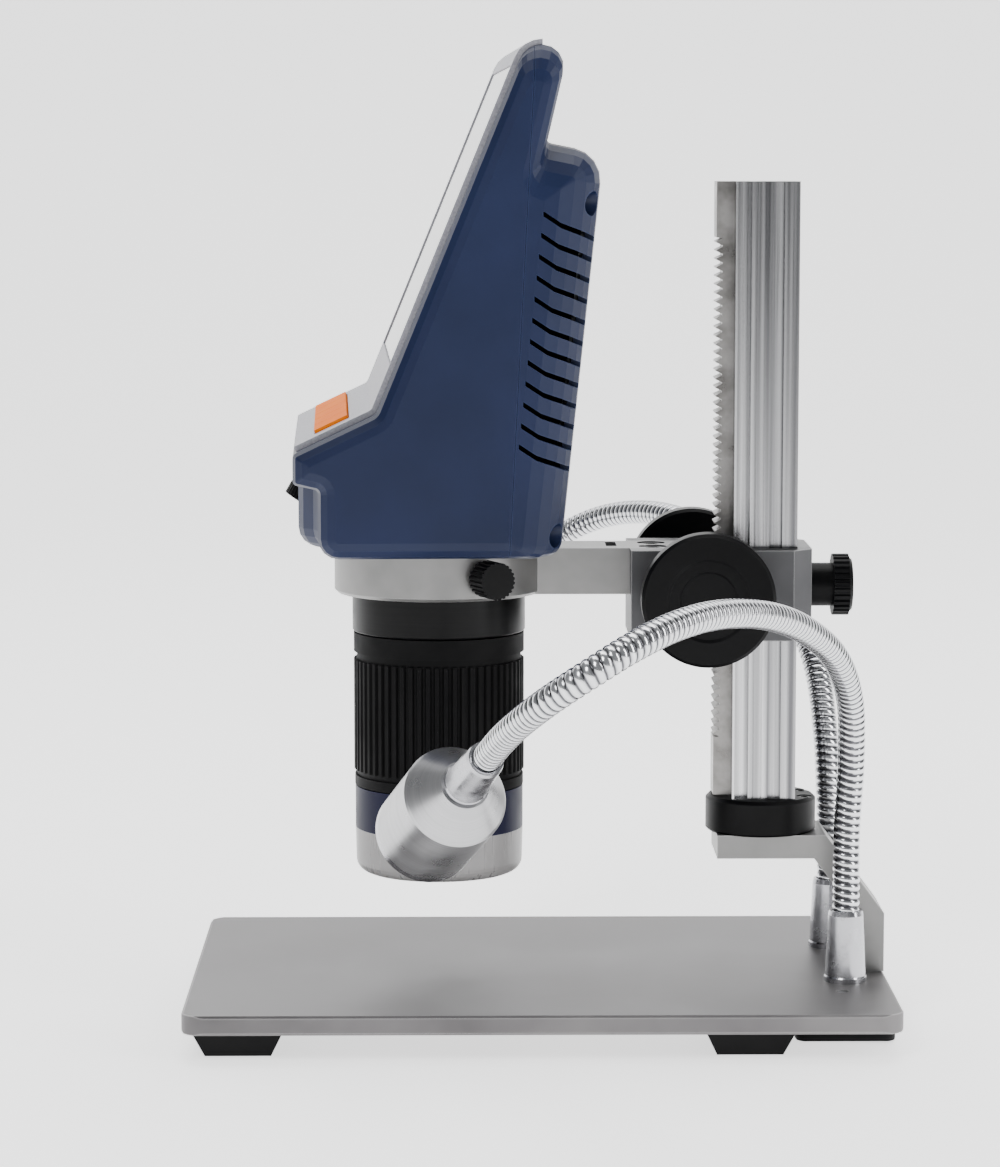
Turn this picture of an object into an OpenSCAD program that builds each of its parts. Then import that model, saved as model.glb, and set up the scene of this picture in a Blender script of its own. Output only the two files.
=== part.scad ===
// Digital microscope with its own screen, on a rack-and-pinion stand with two gooseneck lamps.
// Millimetres, +Z up. The origin is on the table under the middle of the base plate.
// -X is the side with the screen, +X the side with the column, and -Y the near side.

/* [Base plate] */
// Length of the base plate, from the screen side to the column side
plate_l = 180; // [160:1:240]
// Width of the base plate
plate_w = 120; // [112:1:170]
// Thickness of the base plate
plate_t = 5; // [4.5:0.5:8]
// Radius of the plate's upright corners
plate_r = 6; // [3:0.5:12]
// Chamfer along the plate's long edges
plate_chamfer = 0.6; // [0.2:0.1:1.2]

/* [Feet and lamp driver] */
// Height of the rubber feet
foot_h = 7; // [6.5:0.5:12]
// Side of a foot at the plate
foot_top = 23; // [18:0.5:26]
// Side of a foot at the table
foot_bottom = 16.6; // [13:0.2:17.8]
// Distance from the plate's edges to the feet
foot_inset = 2.4; // [1.5:0.1:6]
// Distance from the plate's long sides to the feet
foot_side_inset = 5; // [3:0.5:12]
// Depth of the lamp driver's case under the plate
driver_l = 25.5; // [22:0.5:34]
// Width of the lamp driver's case
driver_w = 82; // [76:1:100]
// Gap between the driver's case and the table
driver_lift = 0.6; // [0.4:0.1:2]
// Wall of the driver's case
driver_wall = 1.4; // [1:0.1:2]

/* [Bracket and column] */
// Width of the bent bracket
bracket_w = 22; // [20:1:30]
// Thickness of the bracket's metal
bracket_t = 6.1; // [5:0.1:8]
// Height of the bracket's arm above the plate
bracket_h = 36; // [28:1:50]
// Depth of the column's section
column_d = 16.4; // [14:0.2:20]
// Width of the column's section
column_w = 20; // [18:0.5:24]
// Height of the column above the bracket
column_h = 169; // [150:1:230]
// Distance from the plate's rear edge to the column's rear face
column_setback = 23.5; // [20:0.5:34]
// Radius of the clamping collar round the column's foot
collar_r = 14.4; // [14:0.2:18]
// Height of the clamping collar
collar_h = 9.3; // [6:0.1:14]

/* [Rack and pinion] */
// Module of the rack and of the pinion
gear_module = 0.7; // [0.6:0.05:0.8]
// Teeth of the pinion
pinion_teeth = 12; // [12:1:13]
// Width of the rack
rack_w = 10; // [8:0.5:11]
// Thickness of the rack, from its back to the tips of its teeth
rack_t = 5.6; // [5:0.1:6.5]
// Plain length of the rack above its teeth
rack_plain = 13; // [4:1:30]
// Radius of the pinion's shaft
shaft_r = 3; // [2.5:0.1:3.2]
// Radius of the two height knobs
knob_r = 16.9; // [12:0.1:20]
// Thickness of a height knob's disc
knob_t = 7.5; // [5:0.5:12]
// Distance between the outer faces of the two height knobs
knob_span = 75; // [66:1:90]

/* [Carriage] */
// Height of the pinion's axis above the base plate
carriage_rise = 100.5; // [85:0.5:110]
// Width of the sliding block
block_w = 32; // [30:0.5:40]
// Height of the sliding block
block_h = 23.4; // [22:0.2:34]
// Height of the block above the pinion's axis
block_up = 10.5; // [10.4:0.1:12]
// Length of the block ahead of the pinion's axis
block_front = 18.6; // [17:0.2:26]
// Wall of the block behind the column
block_wall = 3.4; // [3:0.1:6]
// Distance from the column's middle to the barrel's axis
reach = 84.3; // [80:0.1:100]
// Height of the arm and of its ring
arm_h = 12; // [10:0.5:14]
// Width of the arm
arm_w = 18; // [14:0.5:20]
// Wall of the ring that holds the barrel
ring_wall = 4.6; // [3.5:0.1:7]
// Angle of the ring's thumbscrew, from +X
ring_screw_angle = -65; // [-80:1:-50]

/* [Head] */
// Width of the head
head_w = 130; // [126:1:150]
// Height of the head, from its underside to the front panel's top edge
head_h = 125.6; // [124:0.2:140]
// Turn of the head about the barrel, as it stands
head_turn = 2; // [-5:0.5:5]
// Slope of the screen from the table's plane
screen_angle = 67.7; // [64:0.1:70]
// Slope of the control panel from the table's plane
panel_angle = 25.4; // [22:0.1:28]
// Length of the control panel, from its lip to the screen
panel_l = 22.4; // [21:0.2:26]
// Distance from the barrel's axis to the lip under the control panel
lip_x = 37.2; // [36:0.2:42]
// Height of the lip's lower edge above the head's underside
lip_z = 18.2; // [17:0.2:22]
// Height of the lip
lip_h = 7.3; // [7:0.1:9]
// Thickness of the screen's casing at the top
slab_top = 10.4; // [10:0.2:14]
// Distance from the barrel's axis to the hump's rear corner, at its top
hump_x = 38.9; // [36:0.2:44]
// Height of the hump's rear corner
hump_h = 98; // [92:0.5:102]
// Distance from the barrel's axis to the foot of the hump
hump_foot = 28.6; // [24:0.2:34]
// Wall of the plastic casing
wall = 2.2; // [1.8:0.1:2.6]
// Thickness of the front panel over the casing
bezel_t = 1.3; // [1:0.1:1.8]
// Width of the display's cover glass
glass_side = 12; // [11.5:0.5:15]
// Height of the display's cover glass
glass_h = 78; // [70:0.5:80]
// Distance from the glass to the casing's top edge
glass_margin = 5.9; // [4:0.1:8]
// Number of cooling slots on each side
vent_count = 12; // [6:1:12]
// Distance from slot to slot
vent_pitch = 5.1; // [4.5:0.1:5.5]
// Number of keys on the control panel
key_count = 5; // [5:1:5]
// Travel of a key
key_travel = 0.6; // [0.3:0.1:0.7]
// Radius of the dimmer's wheel
dimmer_r = 8; // [7:0.1:8.4]
// Thickness of the dimmer's wheel
dimmer_t = 3.2; // [2.4:0.1:3.6]

/* [Barrel] */
// Radius of the barrel in its ring
barrel_r = 22.5; // [21:0.1:25]
// Length of the smooth barrel under the head
barrel_l = 22.5; // [18:0.5:30]
// Length of the ribbed focus ring
focus_l = 40; // [30:0.5:44]
// Radius of the focus ring over its ribs
focus_r = 22.2; // [21:0.1:23]
// Number of ribs on the focus ring
focus_ribs = 60; // [36:2:80]
// Length of the band between the focus ring and the hood
band_l = 11; // [8:0.5:16]
// Length of the clear hood at the barrel's end
hood_l = 11.7; // [8:0.1:14]

/* [Lamps] */
// Radius of a gooseneck over its ribs
hose_r = 3.5; // [3:0.1:3.8]
// Distance from rib to rib along a gooseneck
hose_pitch = 2.5; // [2.5:0.1:4]
// Radius of a ferrule at its foot
ferrule_r = 5.5; // [5.3:0.1:6.5]
// Length of a ferrule
ferrule_l = 18.5; // [15:0.5:24]
// Radius of a lamp's housing
lamp_r = 12.7; // [12:0.1:15]
// Length of a lamp's cylindrical part, with its front ring
lamp_l = 28.3; // [24:0.1:34]
// Length of a lamp's conical back
lamp_cone = 8.6; // [6:0.1:12]

/* [Hidden] */
$fn = 64;
// Gap between parts that slide or turn past each other, and the fit of a shaft in its bore
gap = 0.3;
fit = 0.05;
cut = 1; // how far a cutting shape runs past the solid it cuts
// Metric screws: radii of shanks and heads
m3 = 1.5;
m4 = 2;

// Heights of the stand
plate_top = foot_h + plate_t;
arm_top = plate_top + bracket_h;
column_top = arm_top + column_h;

// Lengthwise places of the stand
plate_rear = plate_l / 2;
column_rear = plate_rear - column_setback;
column_x = column_rear - column_d / 2;
column_front = column_rear - column_d;
bracket_front = column_x - 12;
driver_front = plate_rear - driver_l;
foot_y = plate_w / 2 - foot_side_inset - foot_top / 2;
foot_xs = [-plate_l / 2 + foot_inset + foot_top / 2, driver_front - 1 - foot_top / 2];
ferrule_x = plate_rear - bracket_t - 5;
ferrule_y = bracket_w / 2 + 10;

// Rack and pinion. The rack lies in a shallow channel in the column's front face.
rack_seat = 1;
pressure_angle = 25;
backlash = 0.14;
tooth_pitch = PI * gear_module;
rack_tip_x = column_front + rack_seat - rack_t;
pitch_r = gear_module * pinion_teeth / 2;
pinion_x = rack_tip_x + gear_module - pitch_r;
pinion_z = plate_top + carriage_rise;
pinion_tip_r = pitch_r + 0.9 * gear_module;
pinion_root_r = pitch_r - 1.25 * gear_module;
pinion_w = rack_w - 0.6;
bush_r = pinion_tip_r + 0.6;
rack_foot = arm_top + collar_h + 0.5;

// Carriage
block_top = pinion_z + block_up;
block_foot = block_top - block_h;
block_x0 = pinion_x - block_front;
block_x1 = column_rear + gap + block_wall;
tongue_x = pinion_x - bush_r - 1.1;
arm_foot = block_top - arm_h;
ring_r = barrel_r + ring_wall;
arm_screw_x = (block_x0 + tongue_x) / 2;
lock_z = pinion_z;

// Barrel and head. The head's own frame has its origin on the barrel's axis at the underside.
barrel_x = column_x - reach;
flange_h = 2.6;
head_z = block_top + gap + flange_h;
barrel_foot = -flange_h - barrel_l;
sleeve_r = 19;
lens_bore_r = 15;
focus_top = barrel_foot - gap;
focus_foot = focus_top - focus_l;
band_top = focus_foot - gap;
band_foot = band_top - band_l;
hood_foot = band_foot - hood_l;

// Corners of the head's side view as [x, z, rounding], anticlockwise from the lower front
screen_run = 1 / tan(screen_angle);
fold = [panel_l * cos(panel_angle) - lip_x, lip_z + lip_h + panel_l * sin(panel_angle)];
casing_h = head_h - bezel_t;
top_front_x = fold.x + (casing_h - fold.y) * screen_run;
top_rear_x = top_front_x + slab_top;
slab_back_run = 1 / tan(76.9);
hump_rise = 0.2; // slope of the hump's top
hump_slope = (hump_x - hump_foot) / hump_h;
hump_meets_x = (top_rear_x - slab_back_run * (casing_h - hump_h - hump_rise * hump_x))
  / (1 + hump_rise * slab_back_run);
hump_meets = [hump_meets_x, hump_h + hump_rise * (hump_x - hump_meets_x)];
step_x = 31.1; // front of the casing below the lip, at the sides
chin_out = 5; // how far the middle of the chin stands in front of that
chin_half = 30;
chin_blend = 12;
edge_r = 4.2; // rounding of the casing's side edges
crown_r = 9; // rounding of its upper corners, seen from the front
hump_r = 14; // rounding of the hump's upright corners
seam_x = 15.3; // where the two shells part, at the underside
seam_lean = atan((top_front_x + 2 - seam_x) / casing_h); // lean of the parting line
bezel_half = head_w / 2 - crown_r;
screen_l = (casing_h - fold.y) / sin(screen_angle);
glass_mid = screen_l - glass_margin - glass_h / 2;
glass_w = head_w - 2 * glass_side;
lcd = [glass_w - 0.5, 67.2, 3.2];
key_size = [17.8, 8.9];
key_step = key_size.x + 0.6;
key_mid = panel_l / 2;
key_proud = 0.8;
key_field = [key_step * key_count + 0.2, key_size.y + 2 * gap];
key_board_top = -3.7;
dimmer_tilt = 30;
dimmer_at = [-step_x - chin_out + dimmer_r / 2 + 0.1, 8.6];
boss_r = 3.6;
boss_y = head_w / 2 - wall - boss_r - 1.6;
boss_zs = [wall + boss_r - 0.6, 86];

// Goosenecks: round numbers along the middle of each hose, from the foot to the lamp
near_route = [[79, -21, 22.8], [79, -21, 34], [79, -21.5, 52], [79.5, -25, 70], [78, -34, 87],
  [72.5, -50, 100], [63, -70, 109.5], [52, -90, 115.5], [40, -110, 118.3], [29, -127, 118],
  [18.5, -139, 114.8], [8.5, -143.5, 109.3], [-0.5, -138.5, 102.5], [-6.7, -127, 95.8],
  [-10.7, -115, 90], [-13.7, -104.7, 84.6], [-16.4, -96.3, 79.8]];
far_route = [[79, 21, 22.8], [79, 21, 34], [78.6, 21.5, 52], [77.8, 25, 70], [75.8, 34, 87],
  [70.5, 50, 100.5], [61.5, 70, 110.5], [51, 90, 117], [39.5, 110, 120], [28.5, 127, 119],
  [18, 139, 115.2], [8, 143.5, 109.3], [-0.8, 138.5, 102.5], [-6.9, 127, 95.8],
  [-10.7, 115, 90], [-13.7, 104.7, 84.6], [-16.4, 96.3, 79.8]];
hose_sides = 8;
hose_bore_r = 2;
ferrule_top_r = hose_r + 0.9;
ferrule_socket = 8;
route_shift = [ferrule_x - 79, 0, plate_top - 12];

// ---- Helpers: vectors, rounded outlines and lofts ----

function unit(v) = v / norm(v);
function flat(p) = [p.x, p.y];
function left_of(a, b) = let (u = unit(flat(b) - flat(a))) [-u.y, u.x];

// The inset that rounds an edge: how far it is drawn in at a distance t from the middle
function round_in(t, half, r) = t <= half - r ? 0 : r - sqrt(max(0, r * r - pow(t - half + r, 2)));

// Corners of an anticlockwise outline after each edge is moved inwards by its own distance
function drawn_in(corners, insets) = [for (i = [0:len(corners) - 1])
  let (n = len(corners), before = corners[(i + n - 1) % n], here = corners[i],
       after = corners[(i + 1) % n], d1 = insets[(i + n - 1) % n], d2 = insets[i],
       n1 = left_of(before, here), n2 = left_of(here, after), c = n1 * n2,
       at = flat(here) + n1 * (d1 - d2 * c) / (1 - c * c) + n2 * (d2 - d1 * c) / (1 - c * c),
       convex = cross(flat(here) - flat(before), flat(after) - flat(here)) > 0,
       inset = min(d1, d2))
  [at.x, at.y, convex ? max(0.4, here.z - inset) : here.z + inset]];

// Points along the arc that rounds one corner
function fillet(before, here, after, steps) =
  let (u1 = unit(flat(before) - flat(here)), u2 = unit(flat(after) - flat(here)),
       half = acos(u1 * u2) / 2, tangent = here.z / tan(half),
       middle = flat(here) + unit(u1 + u2) * here.z / sin(half),
       from = flat(here) + u1 * tangent - middle, to = flat(here) + u2 * tangent - middle,
       start = atan2(from.y, from.x), turn = atan2(cross(from, to), from * to))
  [for (k = [0:steps]) middle + here.z * [cos(start + turn * k / steps),
                                          sin(start + turn * k / steps)]];

function rounded(corners, steps) = [for (i = [0:len(corners) - 1]) let (n = len(corners))
  each fillet(corners[(i + n - 1) % n], corners[i], corners[(i + 1) % n], steps)];

// A solid through outlines in x and z, each at its own y. The fans fill the end outlines
module loft(rings, fans) {
  n = len(rings[0][1]);
  last = len(rings) - 1;
  points = [for (ring = rings) for (p = ring[1]) [p.x, ring[0], p.y]];
  sides = [for (j = [0:last - 1]) for (i = [0:n - 1])
    let (a = j * n + i, b = j * n + (i + 1) % n) each [[a, b, b + n], [a, b + n, a + n]]];
  near_cap = [for (fan = fans) concat([fan[0]], [for (i = [len(fan) - 1:-1:1]) fan[i]])];
  far_cap = [for (fan = fans) [for (i = fan) last * n + i]];
  polyhedron(points, concat(near_cap, sides, far_cap), convexity = 8);
}

module along_x(x) translate([x, 0, 0]) rotate([0, 90, 0]) children();
module along_y(y) translate([0, y, 0]) rotate([-90, 0, 0]) children();
module both_sides() { children(); mirror([0, 1, 0]) children(); }

// Turns a shape drawn flat, with y up the slope and z outwards, to face the screen side
module facing_front(angle) rotate([0, 0, -90]) rotate([angle, 0, 0]) children();

// A rounded bar with chamfered long edges, centred, with its foot at z = 0
module plate_blank(l, w, h, r, c) {
  section = [[-1, 0], [1, 0], [1, 1], [-1, 1]];
  intersection() {
    union() {
      cube([l - 2 * r, w, 2 * h], center = true);
      cube([l, w - 2 * r, 2 * h], center = true);
      for (x = [-1, 1]) for (y = [-1, 1])
        translate([x * (l / 2 - r), y * (w / 2 - r), 0]) cylinder(r = r, h = 2 * h, center = true);
    }
    translate([0, w / 2, 0]) rotate([90, 0, 0]) linear_extrude(w) chamfered(l, h, c);
    translate([-l / 2, 0, 0]) rotate([90, 0, 90]) linear_extrude(l) chamfered(w, h, c);
  }
}
module chamfered(l, h, c) polygon([[-l / 2 + c, 0], [l / 2 - c, 0], [l / 2, c], [l / 2, h - c],
  [l / 2 - c, h], [-l / 2 + c, h], [-l / 2, h - c], [-l / 2, c]]);

// A disc whose rim is cut into grips: count ridges between r and r - depth
module ridged(r, depth, count, h) linear_extrude(h) polygon([for (k = [0:count - 1])
  for (p = [[r - depth, 0.12], [r, 0.3], [r, 0.7], [r - depth, 0.88]])
    p[0] * [cos(360 * (k + p[1]) / count), sin(360 * (k + p[1]) / count)]]);

module cap_screw(shank_r, shank_l, head_r, head_l) {
  translate([0, 0, -shank_l]) cylinder(r = shank_r, h = shank_l);
  difference() {
    cylinder(r = head_r, h = head_l);
    translate([0, 0, head_l * 0.4]) cylinder(r = head_r * 0.55, h = head_l, $fn = 6);
  }
}

// ---- Base ----

module at_feet() for (x = foot_xs) for (y = [-foot_y, foot_y]) translate([x, y, 0]) children();
module at_ferrules() for (y = [-ferrule_y, ferrule_y]) translate([ferrule_x, y, 0]) children();
case_screw_x = ferrule_x - 2;
case_screw_y = ferrule_y + 13;
module at_case_screws() for (y = [-case_screw_y, case_screw_y])
  translate([case_screw_x, y, 0]) children();
module at_bracket_screws() for (y = [-bracket_w / 4, bracket_w / 4])
  translate([plate_rear - bracket_t / 2, y, 0]) children();
foot_screw_depth = 3.5;
stud_r = 3.9;

module base_plate() color("#a3a2a3") difference() {
  translate([0, 0, foot_h]) plate_blank(plate_l, plate_w, plate_t, plate_r, plate_chamfer);
  at_feet() translate([0, 0, foot_h - cut]) cylinder(r = m4 + fit, h = foot_screw_depth + cut);
  at_ferrules() translate([0, 0, foot_h - cut]) cylinder(r = stud_r + 0.1, h = plate_t + 2 * cut);
  at_case_screws() translate([0, 0, foot_h - cut]) cylinder(r = m3 + fit, h = plate_t + 2 * cut);
  at_bracket_screws() {
    translate([0, 0, foot_h - cut]) cylinder(r = m4 + 0.2, h = plate_t + 2 * cut);
    translate([0, 0, foot_h - cut]) cylinder(r = 3.8, h = 2.4 + cut);
  }
}

// A foot is a block that narrows to the table, with a counterbore for its screw
module rubber_feet() color("#151515") at_feet() difference() {
  intersection() {
    translate([0, foot_top, 0]) rotate([90, 0, 0]) linear_extrude(2 * foot_top) foot_side();
    translate([-foot_top, 0, 0]) rotate([90, 0, 90]) linear_extrude(2 * foot_top) foot_side();
  }
  translate([0, 0, -cut]) cylinder(r = m4 + 0.2, h = foot_h + 2 * cut);
  translate([0, 0, -cut]) cylinder(r = 4.4, h = 4 + cut);
}
module foot_side() polygon([[-foot_bottom / 2, 0], [foot_bottom / 2, 0],
  [foot_top / 2, foot_h], [-foot_top / 2, foot_h]]);

module foot_screws() color("#8d8d90") at_feet() translate([0, 0, 4]) rotate([180, 0, 0])
  cap_screw(m4, foot_h - 4 + foot_screw_depth - 0.3, 3.8, 2.6);

// Shallow tray under the plate, open at the top, with a hole for the lead's socket at the rear
case_floor = driver_lift + driver_wall;
inlet = [8.6, 3.4];
inlet_z = case_floor + 2.6;
module driver_case() color("#141416") difference() {
  translate([plate_rear - driver_l / 2, 0, driver_lift])
    plate_blank(driver_l, driver_w, foot_h - driver_lift, 3.6, 0.3);
  translate([driver_front + driver_wall, -driver_w / 2 + driver_wall, case_floor])
    cube([driver_l - 2 * driver_wall, driver_w - 2 * driver_wall, foot_h]);
  translate([plate_rear, 0, inlet_z]) cube([8, inlet.x, inlet.y], center = true);
  at_case_screws() {
    cylinder(r = m3 + 0.2, h = foot_h);
    cylinder(r = 3.1, h = driver_lift + 0.7);
  }
}

// Circuit board of the lamps' driver, with its socket and its two largest parts
board_x = driver_front + driver_wall + 0.4;
board_l = ferrule_x - 7.4 - board_x;
module driver_board() {
  color("#2d6a3f") translate([board_x, -31, case_floor]) cube([board_l, 62, 1.2]);
  color("#2d6a3f") translate([board_x + board_l - 0.2, -8, case_floor])
    cube([plate_rear - driver_wall - 0.3 - board_x - board_l, 16, 1.2]);
  color("#b8b8bc") translate([plate_rear - driver_wall - 6, -3.8, case_floor + 1.2])
    cube([5.8, 7.6, 2.8]);
  color("#222222") for (y = [-24, 16]) translate([board_x + 1, y, case_floor + 1.2])
    cube([4, 8, 2.2]);
}

module case_screws() color("#8d8d90") at_case_screws() translate([0, 0, driver_lift + 0.5])
  rotate([180, 0, 0]) {
    translate([0, 0, 0.2 - plate_top + driver_lift + 0.5])
      cylinder(r = m3, h = plate_top - driver_lift - 0.9);
    translate([0, 0, -0.2]) cylinder(r = 2.9, h = 0.6);
  }

// Turned ferrule that stands on z = 0 and narrows upwards, with a socket for the hose
module ferrule(stud_l) rotate_extrude() polygon([[hose_bore_r, -stud_l], [stud_r, -stud_l],
  [stud_r, 0], [ferrule_r, 0], [ferrule_r, 1.2], [ferrule_r - 0.25, 1.6],
  [ferrule_top_r + 0.15, ferrule_l - 1.2], [ferrule_top_r - 0.1, ferrule_l],
  [hose_r + 0.1, ferrule_l], [hose_r + 0.1, ferrule_l - ferrule_socket],
  [hose_bore_r, ferrule_l - ferrule_socket]]);

nut_h = 2.6;
module foot_ferrules() color("#b9bac0") at_ferrules() translate([0, 0, plate_top])
  ferrule(plate_t + nut_h + 0.4);

module ferrule_nuts() color("#9a9aa0") at_ferrules() translate([0, 0, foot_h - nut_h])
  difference() {
    cylinder(r = 6.4, h = nut_h, $fn = 6);
    translate([0, 0, -cut]) cylinder(r = stud_r + fit, h = nut_h + 2 * cut);
  }

// ---- Bracket and column ----

// Side view of the bent bracket: foot on the plate, slanted web and level arm
bend_run = 15.4;
bend_drop = 20.6;
web = unit([bend_run, -bend_drop]);
web_inner = [plate_rear - bend_run, arm_top] - bracket_t * [-web.y, web.x];
module bracket_side() polygon([[bracket_front, arm_top], [plate_rear - bend_run, arm_top],
  [plate_rear, arm_top - bend_drop], [plate_rear, plate_top], [plate_rear - bracket_t, plate_top],
  [plate_rear - bracket_t, web_inner.y + web.y / web.x * (plate_rear - bracket_t - web_inner.x)],
  [web_inner.x + web.x / web.y * (arm_top - bracket_t - web_inner.y), arm_top - bracket_t],
  [bracket_front, arm_top - bracket_t]]);

module stand_bracket() color("#b4b4b4") difference() {
  translate([0, bracket_w / 2, 0]) rotate([90, 0, 0]) linear_extrude(bracket_w) bracket_side();
  at_bracket_screws() translate([0, 0, plate_top - cut]) cylinder(r = m4 + fit, h = 9 + cut);
  translate([column_x, 0, arm_top - bracket_t - cut]) cylinder(r = 2.6, h = bracket_t + 2 * cut);
  at_collar_screws() translate([0, 0, arm_top - 4]) cylinder(r = m3 + fit, h = 4 + cut);
}

module bracket_screws() color("#8d8d90") at_bracket_screws() translate([0, 0, foot_h]) {
  cylinder(r1 = 3.7, r2 = m4, h = 2);
  translate([0, 0, 1.9]) cylinder(r = m4, h = plate_t + 6);
}

collar_screw_r = collar_r - 2.4;
module at_collar_screws() for (a = [-22, 22])
  translate([column_x, 0, 0]) rotate([0, 0, a]) translate([collar_screw_r, 0, 0]) children();

module column_collar() color("#1b1b1c") difference() {
  translate([column_x, 0, arm_top]) rotate_extrude() polygon([[0, 0], [collar_r - 0.6, 0],
    [collar_r, 0.6], [collar_r, collar_h - 0.9], [collar_r - 0.9, collar_h], [0, collar_h]]);
  translate([column_front, -column_w / 2, arm_top - cut])
    cube([column_d, column_w, collar_h + 2 * cut]);
  at_collar_screws() {
    translate([0, 0, arm_top - cut]) cylinder(r = m3 + fit, h = collar_h + 2 * cut);
    translate([0, 0, arm_top + collar_h - 1.4]) cylinder(r = 2, h = 3);
  }
}

module collar_screws() color("#2a2a2c") at_collar_screws() {
  translate([0, 0, arm_top - 3.6]) cylinder(r = m3, h = 3.6 + collar_h - 1.4);
  difference() {
    translate([0, 0, arm_top + collar_h - 1.4]) cylinder(r = 1.9, h = 1.2);
    translate([0, 0, arm_top + collar_h - 0.8]) cylinder(r = 1, h = 3, $fn = 6);
  }
}

// Drawn aluminium section: grooves down both side faces and a channel for the rack
module column() color("#a9a9ab") difference() {
  translate([column_front, -column_w / 2, arm_top]) cube([column_d, column_w, column_h]);
  translate([column_front - cut, -rack_w / 2, rack_foot])
    cube([rack_seat + cut, rack_w, column_h]);
  both_sides() {
    column_groove(0.035, 0.25, 2.6);
    column_groove(0.31, 0.335, 0.5);
    column_groove(0.44, 0.465, 0.5);
    column_groove(0.56, 0.76, 1.5);
  }
  translate([column_x, 0, arm_top - cut]) cylinder(r = 2.2, h = 14 + cut);
  translate([column_x, 0, column_top - 12]) cylinder(r = 2.2, h = 12 + cut);
}
module column_groove(from, to, depth)
  translate([column_front + column_d * from, -column_w / 2 - cut, arm_top + collar_h + 0.2])
    cube([column_d * (to - from), depth + cut, column_h]);

// Side view of the rack. A gap between teeth lies level with the pinion's axis.
tooth_half = (tooth_pitch / 2 - backlash) / 2;
teeth_foot = rack_foot + 14;
teeth_top = column_top - rack_plain;
tooth_first = ceil((teeth_foot - pinion_z) / tooth_pitch);
tooth_last = floor((teeth_top - pinion_z) / tooth_pitch) - 1;
module rack() color("#8f8e8c") translate([0, rack_w / 2, 0]) rotate([90, 0, 0])
  linear_extrude(rack_w) polygon(concat(
    [[rack_tip_x + rack_t, column_top], [rack_tip_x, column_top],
     [rack_tip_x, pinion_z + (tooth_last + 1) * tooth_pitch]],
    [for (k = [tooth_last:-1:tooth_first]) let (z = pinion_z + (k + 0.5) * tooth_pitch)
      each rack_tooth(z)],
    [[rack_tip_x, pinion_z + tooth_first * tooth_pitch], [rack_tip_x, rack_foot],
     [rack_tip_x + rack_t, rack_foot]]));
function rack_tooth(z) = let (deep = 2.25 * gear_module, slope = tan(pressure_angle),
  root = tooth_half + 1.25 * gear_module * slope, tip = tooth_half - gear_module * slope)
  [[rack_tip_x + deep, z + root], [rack_tip_x, z + tip],
   [rack_tip_x, z - tip], [rack_tip_x + deep, z - root]];

// ---- Carriage ----

block_chamfer = 5;
module carriage_block() color("#7d7d7e") difference() {
  translate([0, 0, block_foot]) linear_extrude(block_h) polygon([
    [block_x0, -block_w / 2], [block_x1 - block_chamfer, -block_w / 2],
    [block_x1, -block_w / 2 + block_chamfer], [block_x1, block_w / 2 - block_chamfer],
    [block_x1 - block_chamfer, block_w / 2], [block_x0, block_w / 2]]);
  translate([column_front - gap, -column_w / 2 - gap, block_foot - cut])
    cube([column_d + 2 * gap, column_w + 2 * gap, block_h + 2 * cut]);
  translate([rack_tip_x - gap, -rack_w / 2 - gap, block_foot - cut])
    cube([rack_t + gap, rack_w + 2 * gap, block_h + 2 * cut]);
  translate([pinion_x, 0, pinion_z]) along_y(-block_w / 2 - cut)
    cylinder(r = bush_r, h = block_w + 2 * cut);
  translate([block_x0 - cut, -arm_w / 2, arm_foot])
    cube([tongue_x - block_x0 + cut, arm_w, arm_h + cut]);
  at_arm_screws() translate([0, 0, arm_foot - 8]) cylinder(r = m4 + fit, h = 9);
  translate([0, 0, lock_z]) along_x(column_rear) cylinder(r = 2.5 + fit, h = 12);
}

module pinion_bushes() color("#b08a4a") both_sides() translate([pinion_x, 0, pinion_z])
  along_y(rack_w / 2 + 0.4) difference() {
    cylinder(r = bush_r - 0.02, h = block_w / 2 - rack_w / 2 - 0.4);
    translate([0, 0, -cut]) cylinder(r = shaft_r + fit, h = block_w);
  }

module at_arm_screws() for (y = [-arm_w / 4, arm_w / 4])
  translate([arm_screw_x, y, 0]) children();

// Arm and ring in one piece, with a slot across the arm
module head_arm() color("#bcbcba") difference() {
  union() {
    translate([barrel_x, 0, arm_foot]) rotate_extrude() polygon([[0, 0], [ring_r - 0.8, 0],
      [ring_r, 0.8], [ring_r, arm_h - 0.4], [ring_r - 0.4, arm_h], [0, arm_h]]);
    translate([barrel_x, -arm_w / 2, arm_foot]) cube([tongue_x - barrel_x, arm_w, arm_h]);
  }
  translate([barrel_x, 0, arm_foot - cut]) cylinder(r = barrel_r + 0.06, h = arm_h + 2 * cut);
  translate([block_x0 - 6, -4, arm_foot - cut]) cube([2.8, 10, arm_h + 2 * cut]);
  at_arm_screws() {
    translate([0, 0, arm_foot - cut]) cylinder(r = m4 + 0.15, h = arm_h + 2 * cut);
    translate([0, 0, block_top - 3.2]) cylinder(r = 3.7, h = 4);
  }
  at_ring_screw() cylinder(r = m4 + fit, h = ring_r + cut);
}

module arm_screws() color("#4a4a4c") at_arm_screws() translate([0, 0, block_top - 3.2])
  cap_screw(m4, arm_h - 3.2 + 7, 3.5, 2.9);

module at_ring_screw() translate([barrel_x, 0, arm_foot + arm_h / 2])
  rotate([0, 90, ring_screw_angle]) children();

module ring_lock_screw() color("#121213") at_ring_screw() {
  translate([0, 0, barrel_r + gap]) cylinder(r = m4, h = ring_wall + 1);
  translate([0, 0, ring_r + 0.4]) cylinder(r = 3.4, h = 1.2);
  translate([0, 0, ring_r + 1.5]) ridged(4.75, 0.35, 24, 7.2);
}

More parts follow.
